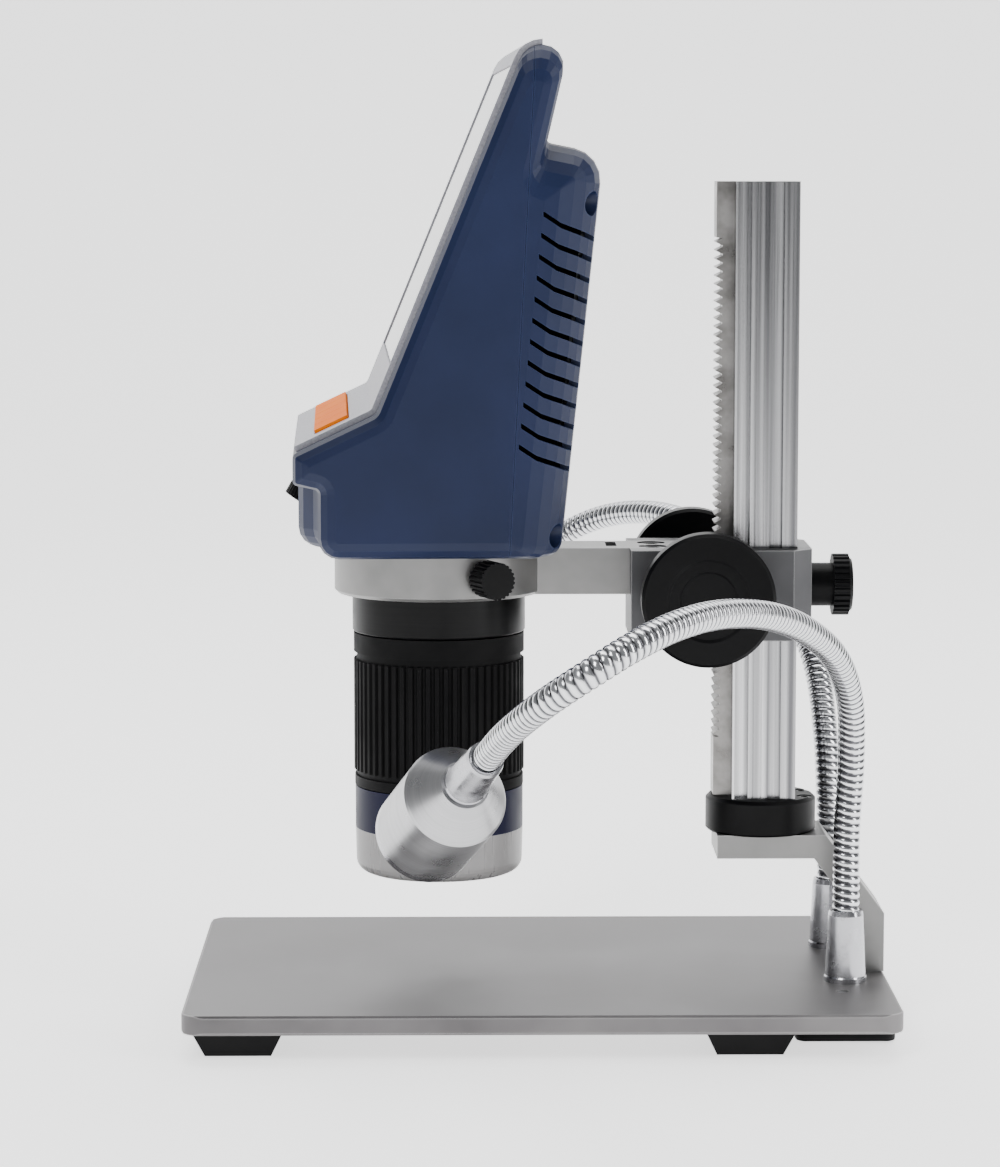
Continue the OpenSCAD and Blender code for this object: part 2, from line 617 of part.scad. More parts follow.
module column_lock_screw() color("#121213") translate([0, 0, lock_z]) {
  along_x(column_rear + gap) cylinder(r = 2.5, h = block_wall + 1);
  along_x(block_x1 + gap) cylinder(r = 5.65, h = 6.1);
  along_x(block_x1 + gap + 6) ridged(8, 0.6, 28, 4.2);
  along_x(block_x1 + gap + 10.1) cylinder(r1 = 7.4, r2 = 6.6, h = 0.9);
}

// ---- Pinion ----

function involute(a) = tan(a) - a * PI / 180;
function flank_angle(r) = let (base = pitch_r * cos(pressure_angle))
  (tooth_half / pitch_r + involute(pressure_angle)
    - (r <= base ? 0 : involute(acos(base / r)))) * 180 / PI;
flank = [pinion_root_r, pitch_r * cos(pressure_angle), pitch_r, (pitch_r + pinion_tip_r) / 2,
  pinion_tip_r];
module pinion_gear(w) linear_extrude(w) polygon([for (k = [0:pinion_teeth - 1])
  for (side = [-1, 1]) for (i = [0:len(flank) - 1])
    let (r = flank[side < 0 ? i : len(flank) - 1 - i], a = 360 * k / pinion_teeth
      + side * flank_angle(r)) r * [cos(a), sin(a)]]);

shaft_l = knob_span - 4;
module pinion_shaft() color("#c2c2c4") translate([pinion_x, 0, pinion_z]) {
  along_y(-shaft_l / 2) cylinder(r = shaft_r, h = shaft_l);
  along_y(-pinion_w / 2) pinion_gear(pinion_w);
}

// Knob as a turned disc on a narrower hub, with a shallow ring sunk in its face
module height_knob() translate([pinion_x, 0, pinion_z]) along_y(block_w / 2 + gap)
  let (face = knob_span / 2 - block_w / 2 - gap, back = face - knob_t) rotate_extrude() polygon([
    [shaft_r, 0], [8.5, 0], [8.5, back], [knob_r - 0.8, back], [knob_r, back + 0.8],
    [knob_r, face - 0.8], [knob_r - 0.8, face], [10.6, face], [9.8, face - 0.7],
    [7.4, face - 0.7], [6.8, face - 1.3], [0, face - 1.3], [0, face - 2], [shaft_r, face - 2]]);
module height_knob_near() color("#111112") mirror([0, 1, 0]) height_knob();
module height_knob_far() color("#111112") height_knob();

// ---- Head: casing ----

module at_head() translate([barrel_x, 0, head_z]) rotate([0, 0, head_turn]) children();
module on_screen() at_head() translate([fold.x, 0, fold.y]) facing_front(screen_angle) children();
module on_panel() at_head() translate([-lip_x, 0, lip_z + lip_h])
  facing_front(panel_angle) children();

// How much further the chin stands out in the middle, at a distance t from the middle
function chin(t) = let (u = min(1, max(0, (t - chin_half) / chin_blend)))
  chin_out * (1 + cos(180 * u)) / 2;

// Corners of the casing's section at a distance t from the middle, as [x, z, rounding]
function casing_corners(t) = [[-step_x - chin(t), 0, 5], [hump_foot, 0, 3.5],
  [hump_x, hump_h, 8], [hump_meets.x, hump_meets.y, 1.5], [top_rear_x, casing_h, 5],
  [top_front_x, casing_h, 6], [fold.x, fold.y, 3], [-lip_x, lip_z + lip_h, 1.5],
  [-lip_x, lip_z, 1.2], [-step_x - chin(t), lip_z - 1.4, 1]];

// The section drawn in by the inset, and further where the sides, the crown and the hump round off
function casing_ring(t, inset, steps) = let (half = head_w / 2 - inset,
  side = inset + round_in(t, half, edge_r - inset),
  crown = inset + round_in(t, half, crown_r - inset),
  hump = inset + round_in(t, half, hump_r - inset))
  rounded(drawn_in(casing_corners(t),
    [side, hump, hump, side, crown, side, side, side, side, side]), steps);

// Distances from the middle at which the sections lie, out to the side
function stations(inset, count) = concat([for (k = [0:3]) chin_half + chin_blend * k / 3],
  [for (k = [0:count]) head_w / 2 - hump_r + (hump_r - inset) * sin(90 * k / count)]);
function both_ways(ts) = concat([for (i = [len(ts) - 1:-1:0]) -ts[i]], ts);

// Fans over the section, spread from the fold and the hump's foot so that none leaves it at
// the fold, below the lip or where the hump meets the slab
function casing_fans(steps) = let (m = steps + 1, fold = 6 * m, below_fold = 6 * m + steps,
  foot = m + steps, at = function (k) [for (i = [0:steps]) k * m + i]) [
    concat([below_fold], at(7), at(8), [9 * m]), concat([below_fold], at(9)),
    concat([below_fold, 9 * m + steps], at(0), at(1)), concat([foot], at(6)),
    concat([fold, foot], at(2), [3 * m]), concat([fold], at(3)),
    concat([fold, 3 * m + steps], at(4), at(5))];

module casing(inset, steps, count)
  loft([for (y = both_ways(stations(inset, count))) [y, casing_ring(abs(y), inset, steps)]],
    casing_fans(steps));

// Everything behind the parting line between the two shells
module behind_seam(shift) translate([seam_x + shift, 0, 0]) rotate([0, seam_lean, 0])
  translate([0, -head_w, -head_h]) cube([head_w, 2 * head_w, 3 * head_h]);

module at_bosses() for (z = boss_zs) for (y = [-boss_y, boss_y]) translate([0, y, z]) children();
function hump_back(z) = hump_foot + hump_slope * z;

spigot_r = 13.4;
module front_shell() color("#24315a") {
  difference() {
    union() {
      at_head() difference() {
        casing(0, 4, 6);
        casing(wall, 2, 4);
        behind_seam(-0.05);
        translate([0, 0, -cut]) cylinder(r = spigot_r + 0.1, h = wall + 2 * cut);
      }
      at_head() intersection() {
        at_bosses() along_x(seam_x - 24) cylinder(r = boss_r, h = 36);
        difference() {
          casing(wall / 2, 2, 4);
          behind_seam(-0.05);
        }
      }
    }
    at_head() at_bosses() along_x(seam_x - 8) cylinder(r = 1.45, h = 30);
    on_screen() translate([0, glass_mid, 0])
      cube([lcd.x + 0.4, lcd.y + 0.4, 3 * wall], center = true);
    on_panel() translate([0, key_mid, 0])
      cube([key_field.x + 2, key_size.y + 2.8, 3 * wall], center = true);
    at_head() dimmer_frame() intersection() {
      cylinder(r = dimmer_r + 0.5, h = dimmer_t + 2 * gap, center = true);
      translate([-dimmer_r * 2, -dimmer_r * 2, -dimmer_t]) cube([dimmer_r * 2, dimmer_r * 4, 9]);
    }
  }
  at_head() dimmer_frame() {
    translate([0, 0, -dimmer_t / 2 - gap - 2]) cylinder(r = 1.8, h = 2);
    translate([0, 0, -dimmer_t / 2 - gap - 1]) cylinder(r = 1, h = dimmer_t + gap + 2);
  }
}

// Slot that runs down and back across the hump's side, steep at its ends
vent_w = 1.3;
vent_mid = [-9, -4.6, 0, 6, 10];
vent_drop = [4.6, 1.7, 0, -2.6, -6.4];
module vent_shape() polygon(concat(
  [for (i = [0:4]) [vent_mid[i], vent_drop[i] + vent_w / 2]],
  [for (i = [4:-1:0]) [vent_mid[i], vent_drop[i] - vent_w / 2]]));
vent_low = 24;
module vents() for (k = [0:vent_count - 1]) let (z = vent_low + vent_pitch * k)
  translate([hump_back(z) - 4.6, head_w / 2 + cut, z - 1]) rotate([90, 0, 0])
    linear_extrude(hump_r - 2 + cut) vent_shape();

socket_z = 52;
module rear_shell() color("#24315a") at_head() difference() {
  union() {
    difference() {
      intersection() {
        casing(0, 4, 6);
        behind_seam(0.05);
      }
      casing(wall, 2, 4);
    }
    intersection() {
      at_bosses() along_x(seam_x - 2) cylinder(r = boss_r, h = 30);
      casing(wall / 2, 2, 4);
      behind_seam(0.05);
    }
  }
  at_bosses() {
    along_x(seam_x - cut) cylinder(r = 1.6, h = 40);
    along_x(seam_x + 8) cylinder(r = 3, h = 40);
  }
  both_sides() vents();
  translate([seam_x + 8, head_w / 2, socket_z + 6]) cube([5, 5 * wall, 9.6], center = true);
  translate([seam_x + 8, head_w / 2, socket_z - 8]) cube([3, 5 * wall, 13], center = true);
}

module shell_screws() color("#5a5a5e") at_head() at_bosses() along_x(seam_x - 7.5) {
  cylinder(r = 1.4, h = 15.6);
  translate([0, 0, 15.5]) cylinder(r = 2.8, h = 1.6);
}

// Front panel: a strip bent over the control panel, the screen and the casing's top edge
function strip(inset) = let (all = rounded(drawn_in(casing_corners(chin_half + chin_blend),
  [for (i = [0:9]) inset]), 4)) [for (i = [24:35]) all[i]];
module front_panel() color("#9c9ca4") {
  outer = strip(-bezel_t);
  inner = strip(0);
  difference() {
    at_head() translate([0, bezel_half, 0]) rotate([90, 0, 0]) linear_extrude(2 * bezel_half)
      polygon(concat(outer, [for (i = [len(inner) - 1:-1:0]) inner[i]]));
    on_screen() translate([0, glass_mid, 0])
      cube([glass_w + 0.3, glass_h + 0.3, 3 * bezel_t], center = true);
    on_panel() translate([0, key_mid, 0]) cube([key_field.x, key_field.y, 9], center = true);
  }
}

module display_glass() color("#20242b") on_screen()
  translate([-glass_w / 2, glass_mid - glass_h / 2, 0]) cube([glass_w, glass_h, bezel_t - 0.3]);

module lcd_module() color("#c9ccd2") on_screen()
  translate([-lcd.x / 2, glass_mid - lcd.y / 2, -lcd.z]) cube(lcd);

main_board_size = [2 * (boss_y - boss_r - 2), 66, 1.6];
module main_board() on_screen() translate([0, glass_mid, -lcd.z - main_board_size.z]) {
  color("#1f5d3a") translate([-main_board_size.x / 2, -main_board_size.y / 2, 0])
    cube(main_board_size);
  color("#202020") for (p = [[-18, -16, 14, 14], [12, -18, 11, 9], [22, 2, 16, 8]])
    translate([p[0], p[1], -1.4]) cube([p[2], p[3], 1.5]);
}

module side_sockets() color("#b8b8bc") at_head() {
  translate([seam_x + 8, head_w / 2 - 6.2, socket_z + 6]) cube([3.6, 10, 8.6], center = true);
  translate([seam_x + 8, head_w / 2 - 8.6, socket_z - 8]) cube([2.2, 14.6, 12], center = true);
}

module battery() color("#c8c8cc") at_head()
  translate([seam_x + 1.5, -30, wall + 0.1]) cube([8.4, 60, 46]);

module key_board() on_panel() {
  color("#1f5d3a") translate([0, key_mid, key_board_top - 0.6])
    cube([key_field.x + 5.8, 14, 1.2], center = true);
  color("#3a3a3c") for (k = [0:key_count - 1])
    translate([(k - (key_count - 1) / 2) * key_step, key_mid, key_board_top])
      cylinder(r = 2.4, h = 0.4);
}

// A key: cap through the front panel, flange behind it and a stem over its switch
module key(k) color("#f39a4e") on_panel()
  translate([(k - (key_count - 1) / 2) * key_step, key_mid, 0]) {
    translate([-key_size.x / 2, -key_size.y / 2, -gap - 1])
      cube([key_size.x, key_size.y, bezel_t + key_proud + gap + 1]);
    translate([-key_size.x / 2, -key_size.y / 2 - 1, -gap - 1.2])
      cube([key_size.x, key_size.y + 2, 1.2]);
    translate([0, 0, -2.6]) cylinder(r = 1.6, h = 1.4);
  }
module key_1() key(0);
module key_2() key(1);
module key_3() key(2);
module key_4() key(3);
module key_5() key(4);

// The dimmer's wheel lies in a tilted slot in the chin
module dimmer_frame() translate([dimmer_at.x, 0, dimmer_at.y]) rotate([0, dimmer_tilt, 0])
  children();
module dimmer_wheel() color("#0f0f10") at_head() dimmer_frame() difference() {
  translate([0, 0, -dimmer_t / 2]) ridged(dimmer_r, 0.4, 40, dimmer_t);
  cylinder(r = 1 + fit, h = 9, center = true);
}

// ---- Barrel ----

module sensor_board() at_head() {
  color("#1f5d3a") translate([-14, -14, wall + 0.4]) cube([28, 28, 1.6]);
  color("#101012") translate([-4, -4, wall - 0.8]) cube([8, 8, 1.3]);
}

// Flange under the head, with the spigot that centres it in the front shell's floor
module barrel_flange() color("#141415") at_head() rotate_extrude() polygon([
  [10, wall + 0.4], [10, -flange_h], [barrel_r + 3, -flange_h], [barrel_r + 3, -0.6],
  [barrel_r + 2.4, 0], [spigot_r, 0], [spigot_r, wall + 0.4]]);

// Smooth barrel in the ring and thin sleeve inside the focus ring
module barrel_tube() color("#141415") at_head() rotate_extrude() polygon([
  [10, -flange_h], [10, -flange_h - 6], [lens_bore_r, -flange_h - 10],
  [lens_bore_r, band_foot + 3], [sleeve_r, band_foot + 3], [sleeve_r, barrel_foot],
  [barrel_r - 0.4, barrel_foot], [barrel_r, barrel_foot + 0.4], [barrel_r, -flange_h]]);

// Focus ring: a sleeve whose outside is cut into upright ribs between two smooth ends
rib_depth = 0.7;
module focus_ring() color("#0e0e0f") at_head() difference() {
  union() {
    translate([0, 0, focus_foot]) cylinder(r = focus_r - rib_depth - 0.1, h = focus_l);
    translate([0, 0, focus_foot + 4]) ridged(focus_r, rib_depth, focus_ribs, focus_l - 11);
    translate([0, 0, focus_foot]) cylinder(r = focus_r - 0.2, h = 2.6);
    translate([0, 0, focus_foot + focus_l - 5]) cylinder(r = focus_r, h = 5);
  }
  translate([0, 0, focus_foot - cut]) cylinder(r = sleeve_r + fit, h = focus_l + 2 * cut);
}

band_r = focus_r - 0.3;
module barrel_band() color("#2b3160") at_head() translate([0, 0, band_foot]) difference() {
  cylinder(r = band_r, h = band_l);
  translate([0, 0, -cut]) cylinder(r = sleeve_r + 0.02, h = band_l + 2 * cut);
}

module led_ring() at_head() translate([0, 0, band_foot + 1.4]) {
  color("#e8e8e4") difference() {
    cylinder(r = sleeve_r - 0.1, h = 1.6);
    translate([0, 0, -cut]) cylinder(r = 12, h = 4);
  }
  color("#f6e08a") for (k = [0:7]) rotate([0, 0, 45 * k]) translate([15.4, 0, -0.8])
    cylinder(r = 1.7, h = 0.9);
}

// Hood: a thin cup without a floor, rounded at its lower rim
hood_wall = 1.6;
module hood() color([0.78, 0.79, 0.8, 0.85]) at_head() rotate_extrude() polygon(concat(
  [[band_r - hood_wall, band_foot], [band_r - hood_wall, hood_foot + 3.4],
   [band_r - hood_wall - 1.2, hood_foot + 0.8], [band_r - hood_wall - 1.2, hood_foot]],
  [for (a = [-90:15:0]) [band_r - 3.4 + 3.2 * cos(a), hood_foot + 3.2 + 3.2 * sin(a)]],
  [[band_r, band_foot]]));

lens_travel = 4;
lens_cell_z = band_foot + 3 + lens_travel + 0.7;
module lens_cell() color("#26262a") at_head() translate([0, 0, lens_cell_z]) difference() {
  cylinder(r = lens_bore_r - fit, h = 20);
  translate([0, 0, -cut]) cylinder(r = 9, h = 22);
  translate([0, 0, 4]) cylinder(r = 10.5, h = 17);
}
module objective_lens() color([0.75, 0.85, 0.95, 0.5]) at_head()
  translate([0, 0, lens_cell_z + 4]) rotate_extrude()
    polygon([[0, 0], [10.4, 0], [10.4, 2.4], [7, 3.7], [3.5, 4.3], [0, 4.5]]);

// ---- Goosenecks and lamps ----

// A smooth curve through the route's points, and its running length
function eased(p, i, u) = let (a = p[max(0, i - 1)], b = p[i], c = p[i + 1],
  d = p[min(len(p) - 1, i + 2)])
  0.5 * (2 * b + (c - a) * u + (2 * a - 5 * b + 4 * c - d) * u * u
    + (3 * b - a - 3 * c + d) * u * u * u);
function curve(p) = concat([for (i = [0:len(p) - 2]) for (k = [0:7]) eased(p, i, k / 8)],
  [p[len(p) - 1]]);
function lengths(p) = [for (i = 0, s = 0; i < len(p);
  i = i + 1, s = i < len(p) ? s + norm(p[i] - p[i - 1]) : s) s];

// Points every step along a curve, each with the same share of its length
function evenly(p, count) = let (s = lengths(p), total = s[len(s) - 1],
  xs = [for (i = [0:len(p) - 1]) [s[i], p[i].x]], ys = [for (i = [0:len(p) - 1]) [s[i], p[i].y]],
  zs = [for (i = [0:len(p) - 1]) [s[i], p[i].z]])
  [for (k = [0:count]) let (at = total * k / count) [lookup(at, xs), lookup(at, ys),
                                                     lookup(at, zs)]];
function headings(p) = [for (i = [0:len(p) - 1])
  unit(p[min(len(p) - 1, i + 1)] - p[max(0, i - 1)])];
function squared(v, t) = unit(v - (v * t) * t);
function sideways(ts) = [for (i = 0, v = squared([1, 0, 0], ts[0]); i < len(ts);
  i = i + 1, v = i < len(ts) ? squared(v, ts[i]) : v) v];
function ring_points(at, t, v, r) = [for (k = [0:hose_sides - 1])
  let (a = 360 * k / hose_sides) at + r * (cos(a) * v + sin(a) * cross(t, v))];

// Hose with a rib every hose_pitch: two rings to a rib, and a plain bore
module ribbed_hose(route) {
  path = curve(route);
  total = lengths(path)[len(path) - 1];
  ribs = floor(total / hose_pitch);
  outer = evenly(path, 2 * ribs);
  outer_t = headings(outer);
  outer_v = sideways(outer_t);
  // the bore's rings are every eighth ring of the outside
  step = 8;
  bore = [for (i = [0:step:2 * ribs - step / 2]) i];
  bore_ids = concat(bore, [2 * ribs]);
  n = hose_sides;
  m = 2 * ribs + 1;
  b = len(bore_ids);
  points = concat(
    [for (i = [0:m - 1]) each ring_points(outer[i], outer_t[i], outer_v[i],
      i % 2 == 0 ? hose_r : hose_r - 0.55)],
    [for (i = bore_ids) each ring_points(outer[i], outer_t[i], outer_v[i], hose_bore_r)]);
  skin = [for (j = [0:m - 2]) for (i = [0:n - 1]) let (p = j * n + i, q = j * n + (i + 1) % n)
    each [[p, q + n, q], [p, p + n, q + n]]];
  base = m * n;
  bore_skin = [for (j = [0:b - 2]) for (i = [0:n - 1])
    let (p = base + j * n + i, q = base + j * n + (i + 1) % n)
    each [[p, q, q + n], [p, q + n, p + n]]];
  ends = [for (i = [0:n - 1]) let (q = (i + 1) % n, o = (m - 1) * n, w = base + (b - 1) * n)
    each [[i, q, base + q], [i, base + q, base + i],
          [o + i, w + q, o + q], [o + i, w + i, w + q]]];
  polyhedron(points, concat(skin, bore_skin, ends), convexity = 10);
}

function shifted(route) = [for (p = route) p + route_shift];

// Places a shape at the end of a hose, with z pointing the way the lamp shines
module at_lamp(route) {
  last = len(route) - 1;
  aim = unit(route[last] - route[last - 1]);
  translate(route[last] + route_shift) rotate([0, acos(aim.z), atan2(aim.y, aim.x)]) children();
}

lamp_back = ferrule_l - ferrule_socket;
lamp_rim = lamp_back + lamp_cone;
lamp_front = lamp_rim + lamp_l;
bezel_l = 3;
lamp_floor = lamp_rim + 5;
lamp_wall = 1.9;

module lamp_ferrule(route) color("#b9bac0") at_lamp(route) translate([0, 0, lamp_back])
  rotate([180, 0, 0]) ferrule(0.01);
module lamp_housing(route) color("#c4c4c6") at_lamp(route) rotate_extrude() polygon([
  [hose_bore_r, lamp_back], [ferrule_r + 0.5, lamp_back], [lamp_r - 0.5, lamp_rim - 0.5],
  [lamp_r, lamp_rim + 0.3], [lamp_r, lamp_front - bezel_l], [lamp_r - lamp_wall,
  lamp_front - bezel_l], [lamp_r - lamp_wall, lamp_floor], [hose_bore_r, lamp_floor]]);
module lamp_bezel(route) color("#dcdcde") at_lamp(route) rotate_extrude() polygon([
  [lamp_r - lamp_wall - 1.2, lamp_front - bezel_l], [lamp_r, lamp_front - bezel_l],
  [lamp_r, lamp_front - 0.6], [lamp_r - 0.6, lamp_front], [lamp_r - lamp_wall - 0.2, lamp_front]]);
module lamp_lens(route) color([0.9, 0.92, 0.95, 0.6]) at_lamp(route)
  translate([0, 0, lamp_front - bezel_l - 1.6])
    cylinder(r = lamp_r - lamp_wall - 0.1, h = 1.6);
module lamp_led(route) at_lamp(route) translate([0, 0, lamp_floor]) {
  color("#e8e8e4") cylinder(r = lamp_r - lamp_wall - 0.1, h = 1.6);
  color("#f6e08a") translate([0, 0, 1.5]) cylinder(r = 3.4, h = 1.4);
}

module gooseneck_near() color("#c6c7cb") ribbed_hose(shifted(near_route));
module lamp_ferrule_near() lamp_ferrule(near_route);
module lamp_housing_near() lamp_housing(near_route);
module lamp_bezel_near() lamp_bezel(near_route);
module lamp_lens_near() lamp_lens(near_route);
module lamp_led_near() lamp_led(near_route);
module gooseneck_far() color("#c6c7cb") ribbed_hose(shifted(far_route));
module lamp_ferrule_far() lamp_ferrule(far_route);
module lamp_housing_far() lamp_housing(far_route);
module lamp_bezel_far() lamp_bezel(far_route);
module lamp_lens_far() lamp_lens(far_route);
module lamp_led_far() lamp_led(far_route);

base_plate();
rubber_feet();
foot_screws();
driver_case();
driver_board();
case_screws();
foot_ferrules();
ferrule_nuts();
stand_bracket();
bracket_screws();
column_collar();
collar_screws();
column();
rack();
carriage_block();
pinion_bushes();
head_arm();
arm_screws();
pinion_shaft();
height_knob_near();
height_knob_far();
column_lock_screw();
ring_lock_screw();
front_shell();
rear_shell();
front_panel();
display_glass();
lcd_module();
main_board();
key_board();
battery();
shell_screws();
side_sockets();
sensor_board();
barrel_flange();
barrel_tube();
barrel_band();
led_ring();
hood();
key_1();
key_2();
key_3();
key_4();
key_5();
dimmer_wheel();
focus_ring();
lens_cell();
objective_lens();
gooseneck_near();
lamp_ferrule_near();
lamp_housing_near();
lamp_bezel_near();
lamp_lens_near();
lamp_led_near();
gooseneck_far();
lamp_ferrule_far();
lamp_housing_far();
lamp_bezel_far();
lamp_lens_far();
lamp_led_far();
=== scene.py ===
"""Looks of the digital microscope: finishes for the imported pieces, the wound goosenecks and the
small trim. Metres, +Z up, the screen faces -X and the near side is -Y."""
import math

import bpy
import numpy as np
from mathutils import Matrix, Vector


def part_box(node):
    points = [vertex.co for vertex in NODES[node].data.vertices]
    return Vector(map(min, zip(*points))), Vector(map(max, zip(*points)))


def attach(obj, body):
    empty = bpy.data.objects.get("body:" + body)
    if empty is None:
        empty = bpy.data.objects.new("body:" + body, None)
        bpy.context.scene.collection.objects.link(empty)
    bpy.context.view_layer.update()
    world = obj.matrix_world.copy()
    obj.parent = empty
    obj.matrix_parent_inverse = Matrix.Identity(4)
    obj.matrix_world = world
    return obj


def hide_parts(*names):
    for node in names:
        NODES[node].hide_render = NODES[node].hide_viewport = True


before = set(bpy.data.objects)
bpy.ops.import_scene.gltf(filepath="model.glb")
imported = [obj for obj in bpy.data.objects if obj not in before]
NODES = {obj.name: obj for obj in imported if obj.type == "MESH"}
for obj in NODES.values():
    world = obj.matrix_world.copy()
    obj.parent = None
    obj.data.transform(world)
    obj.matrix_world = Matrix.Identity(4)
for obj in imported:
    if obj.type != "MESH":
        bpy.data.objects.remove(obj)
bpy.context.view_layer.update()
MM = 0.001


# ---- colour and node helpers ----

def tone(code):
    """An sRGB hex colour as linear RGBA: c/12.92 in the toe, ((c+0.055)/1.055)^2.4 above it."""
    parts = [int(code.lstrip("#")[i:i + 2], 16) / 255 for i in (0, 2, 4)]
    return tuple(c / 12.92 if c <= 0.04045 else ((c + 0.055) / 1.055) ** 2.4 for c in parts) + (1.0,)


def add(tree, kind, inputs=None, stops=None, to=None, **settings):
    """Adds a node. settings are its properties; inputs maps its sockets to numbers, sockets or
    nodes (their first output); stops are a ramp's (place, hex) pairs; to is the socket it feeds."""
    node = tree.nodes.new(kind)
    for key, value in settings.items():
        setattr(node, key, value)
    for key, value in (inputs or {}).items():
        if isinstance(value, bpy.types.Node):
            value = value.outputs[0]
        if isinstance(value, bpy.types.NodeSocket):
            tree.links.new(value, node.inputs[key])
        else:
            node.inputs[key].default_value = value
    if stops:
        marks = node.color_ramp.elements
        while len(marks) < len(stops):
            marks.new(0.5)
        for mark, (place, code) in zip(marks, stops):
            mark.position, mark.color = place, tone(code)
    if to is not None:
        tree.links.new(node.outputs[0], to)
    return node


def finish(name, code, **values):
    """A new material of one colour: returns it, its nodes and its shader. values are sockets."""
    material = bpy.data.materials.new(name)
    material.use_nodes = True
    material.diffuse_color = tone(code)
    tree = material.node_tree
    shader = tree.nodes["Principled BSDF"]
    shader.inputs["Base Color"].default_value = tone(code)
    for key, value in values.items():
        shader.inputs[key.replace("_", " ")].default_value = value
    where = add(tree, "ShaderNodeTexCoord").outputs["Object"]
    return material, tree, shader, where


def painted_edge_highlight(tree, radius_mm, sharp=0.15):
    """1 where the surface turns within radius_mm and 0 on flats, used to paint a highlight along edges:
    how far the dot product of the true normal and the normal smoothed over that radius falls below 1,
    divided by sharp."""
    smooth = add(tree, "ShaderNodeBevel", {"Radius": radius_mm * MM}, samples=6)
    true = add(tree, "ShaderNodeNewGeometry").outputs["Normal"]
    same = add(tree, "ShaderNodeVectorMath", {0: smooth, 1: true}, operation="DOT_PRODUCT")
    return add(tree, "ShaderNodeMapRange", {"Value": same.outputs["Value"], "From Min": 0.995,
                                            "From Max": 0.995 - sharp, "To Min": 0.0, "To Max": 1.0})


def paint(material, *names):
    """Gives the CAD nodes of these names this finish."""
    for name in names:
        mesh = NODES[name].data
        mesh.materials.clear()
        mesh.materials.append(material)


# ---- finishes ----

def beaded_plate():
    # Aluminium plate, glass-beaded and clear anodised: a cool grey satin. Hands and flux leave soft
    # clouds 20 to 60 mm across, and the beads a grain of 0.5 mm.
    m, t, s, where = finish("anodised_aluminium_plate", "#a09fa0", Metallic=0.8, Roughness=0.42)
    cloud = add(t, "ShaderNodeTexNoise", {"Vector": where, "Scale": 1 / (60 * MM), "Detail": 4.0,
                                          "Roughness": 0.6})
    beads = add(t, "ShaderNodeTexNoise", {"Vector": where, "Scale": 1 / (0.5 * MM), "Detail": 1.0})
    # The edges are painted paler, #b4b2b2: a painted highlight along them.
    edge_highlight = add(t, "ShaderNodeMapRange", {"Value": painted_edge_highlight(t, 0.7), "To Min": 0.0, "To Max": 0.7})
    tint = add(t, "ShaderNodeValToRGB", {"Fac": cloud},
               stops=[(0.3, "#545253"), (0.5, "#6c6a6b"), (0.72, "#807e7e")])
    mix = add(t, "ShaderNodeMix", {0: edge_highlight, 6: tint, 7: tone("#b4b2b2")}, data_type="RGBA")
    t.links.new(mix.outputs[2], s.inputs["Base Color"])
    add(t, "ShaderNodeMapRange", {"Value": cloud, "From Min": 0.3, "From Max": 0.7, "To Min": 0.34,
                                  "To Max": 0.5}, to=s.inputs["Roughness"])
    add(t, "ShaderNodeBump", {"Height": beads, "Distance": 0.03 * MM, "Strength": 0.35},
        to=s.inputs["Normal"])
    return m


def beaded_aluminium(name, dark, light):
    # Milled aluminium, bead-blasted and anodised: an even satin, its edges painted a little brighter
    # as a highlight. Grain 0.5 mm.
    m, t, s, where = finish(name, light, Metallic=0.8, Roughness=0.4)
    beads = add(t, "ShaderNodeTexNoise", {"Vector": where, "Scale": 1 / (0.5 * MM), "Detail": 1.0})
    cloud = add(t, "ShaderNodeTexNoise", {"Vector": where, "Scale": 1 / (18 * MM), "Detail": 3.0})
    tint = add(t, "ShaderNodeValToRGB", {"Fac": cloud}, stops=[(0.3, dark), (0.7, light)])
    edge_highlight = add(t, "ShaderNodeMapRange", {"Value": painted_edge_highlight(t, 0.5), "To Min": 0.0, "To Max": 0.6})
    mix = add(t, "ShaderNodeMix", {0: edge_highlight, 6: tint, 7: tone("#c0c0c0")}, data_type="RGBA")
    t.links.new(mix.outputs[2], s.inputs["Base Color"])
    add(t, "ShaderNodeMapRange", {"Value": cloud, "From Min": 0.3, "From Max": 0.7, "To Min": 0.34,
                                  "To Max": 0.46}, to=s.inputs["Roughness"])
    add(t, "ShaderNodeBump", {"Height": beads, "Distance": 0.03 * MM, "Strength": 0.35},
        to=s.inputs["Normal"])
    return m


def drawn_section():
    # Extruded aluminium section, polished: die lines 0.5 mm apart run up its length, and brighter and
    # darker bands 3 mm wide along it, partly its own streaks and partly painted reflection.
    m, t, s, where = finish("drawn_aluminium_section", "#aeaeb0", Metallic=1.0, Roughness=0.22)
    along = add(t, "ShaderNodeMapping", {"Vector": where, "Scale": (1.0, 1.0, 0.006)})
    lines = add(t, "ShaderNodeTexNoise", {"Vector": along, "Scale": 1 / (0.5 * MM), "Detail": 3.0,
                                          "Roughness": 0.6})
    streaks_and_reflections = add(t, "ShaderNodeTexNoise", {"Vector": along, "Scale": 1 / (3 * MM), "Detail": 2.0})
    # Bands from dark to bright: partly the section's own streaks, partly painted reflection.
    add(t, "ShaderNodeValToRGB", {"Fac": streaks_and_reflections},
        stops=[(0.36, "#58585b"), (0.5, "#98989a"), (0.64, "#c8c8ca")],
        to=s.inputs["Base Color"])
    add(t, "ShaderNodeMapRange", {"Value": lines, "From Min": 0.3, "From Max": 0.7, "To Min": 0.14,
                                  "To Max": 0.28}, to=s.inputs["Roughness"])
    add(t, "ShaderNodeBump", {"Height": lines, "Distance": 0.05 * MM, "Strength": 0.35},
        to=s.inputs["Normal"])
    return m


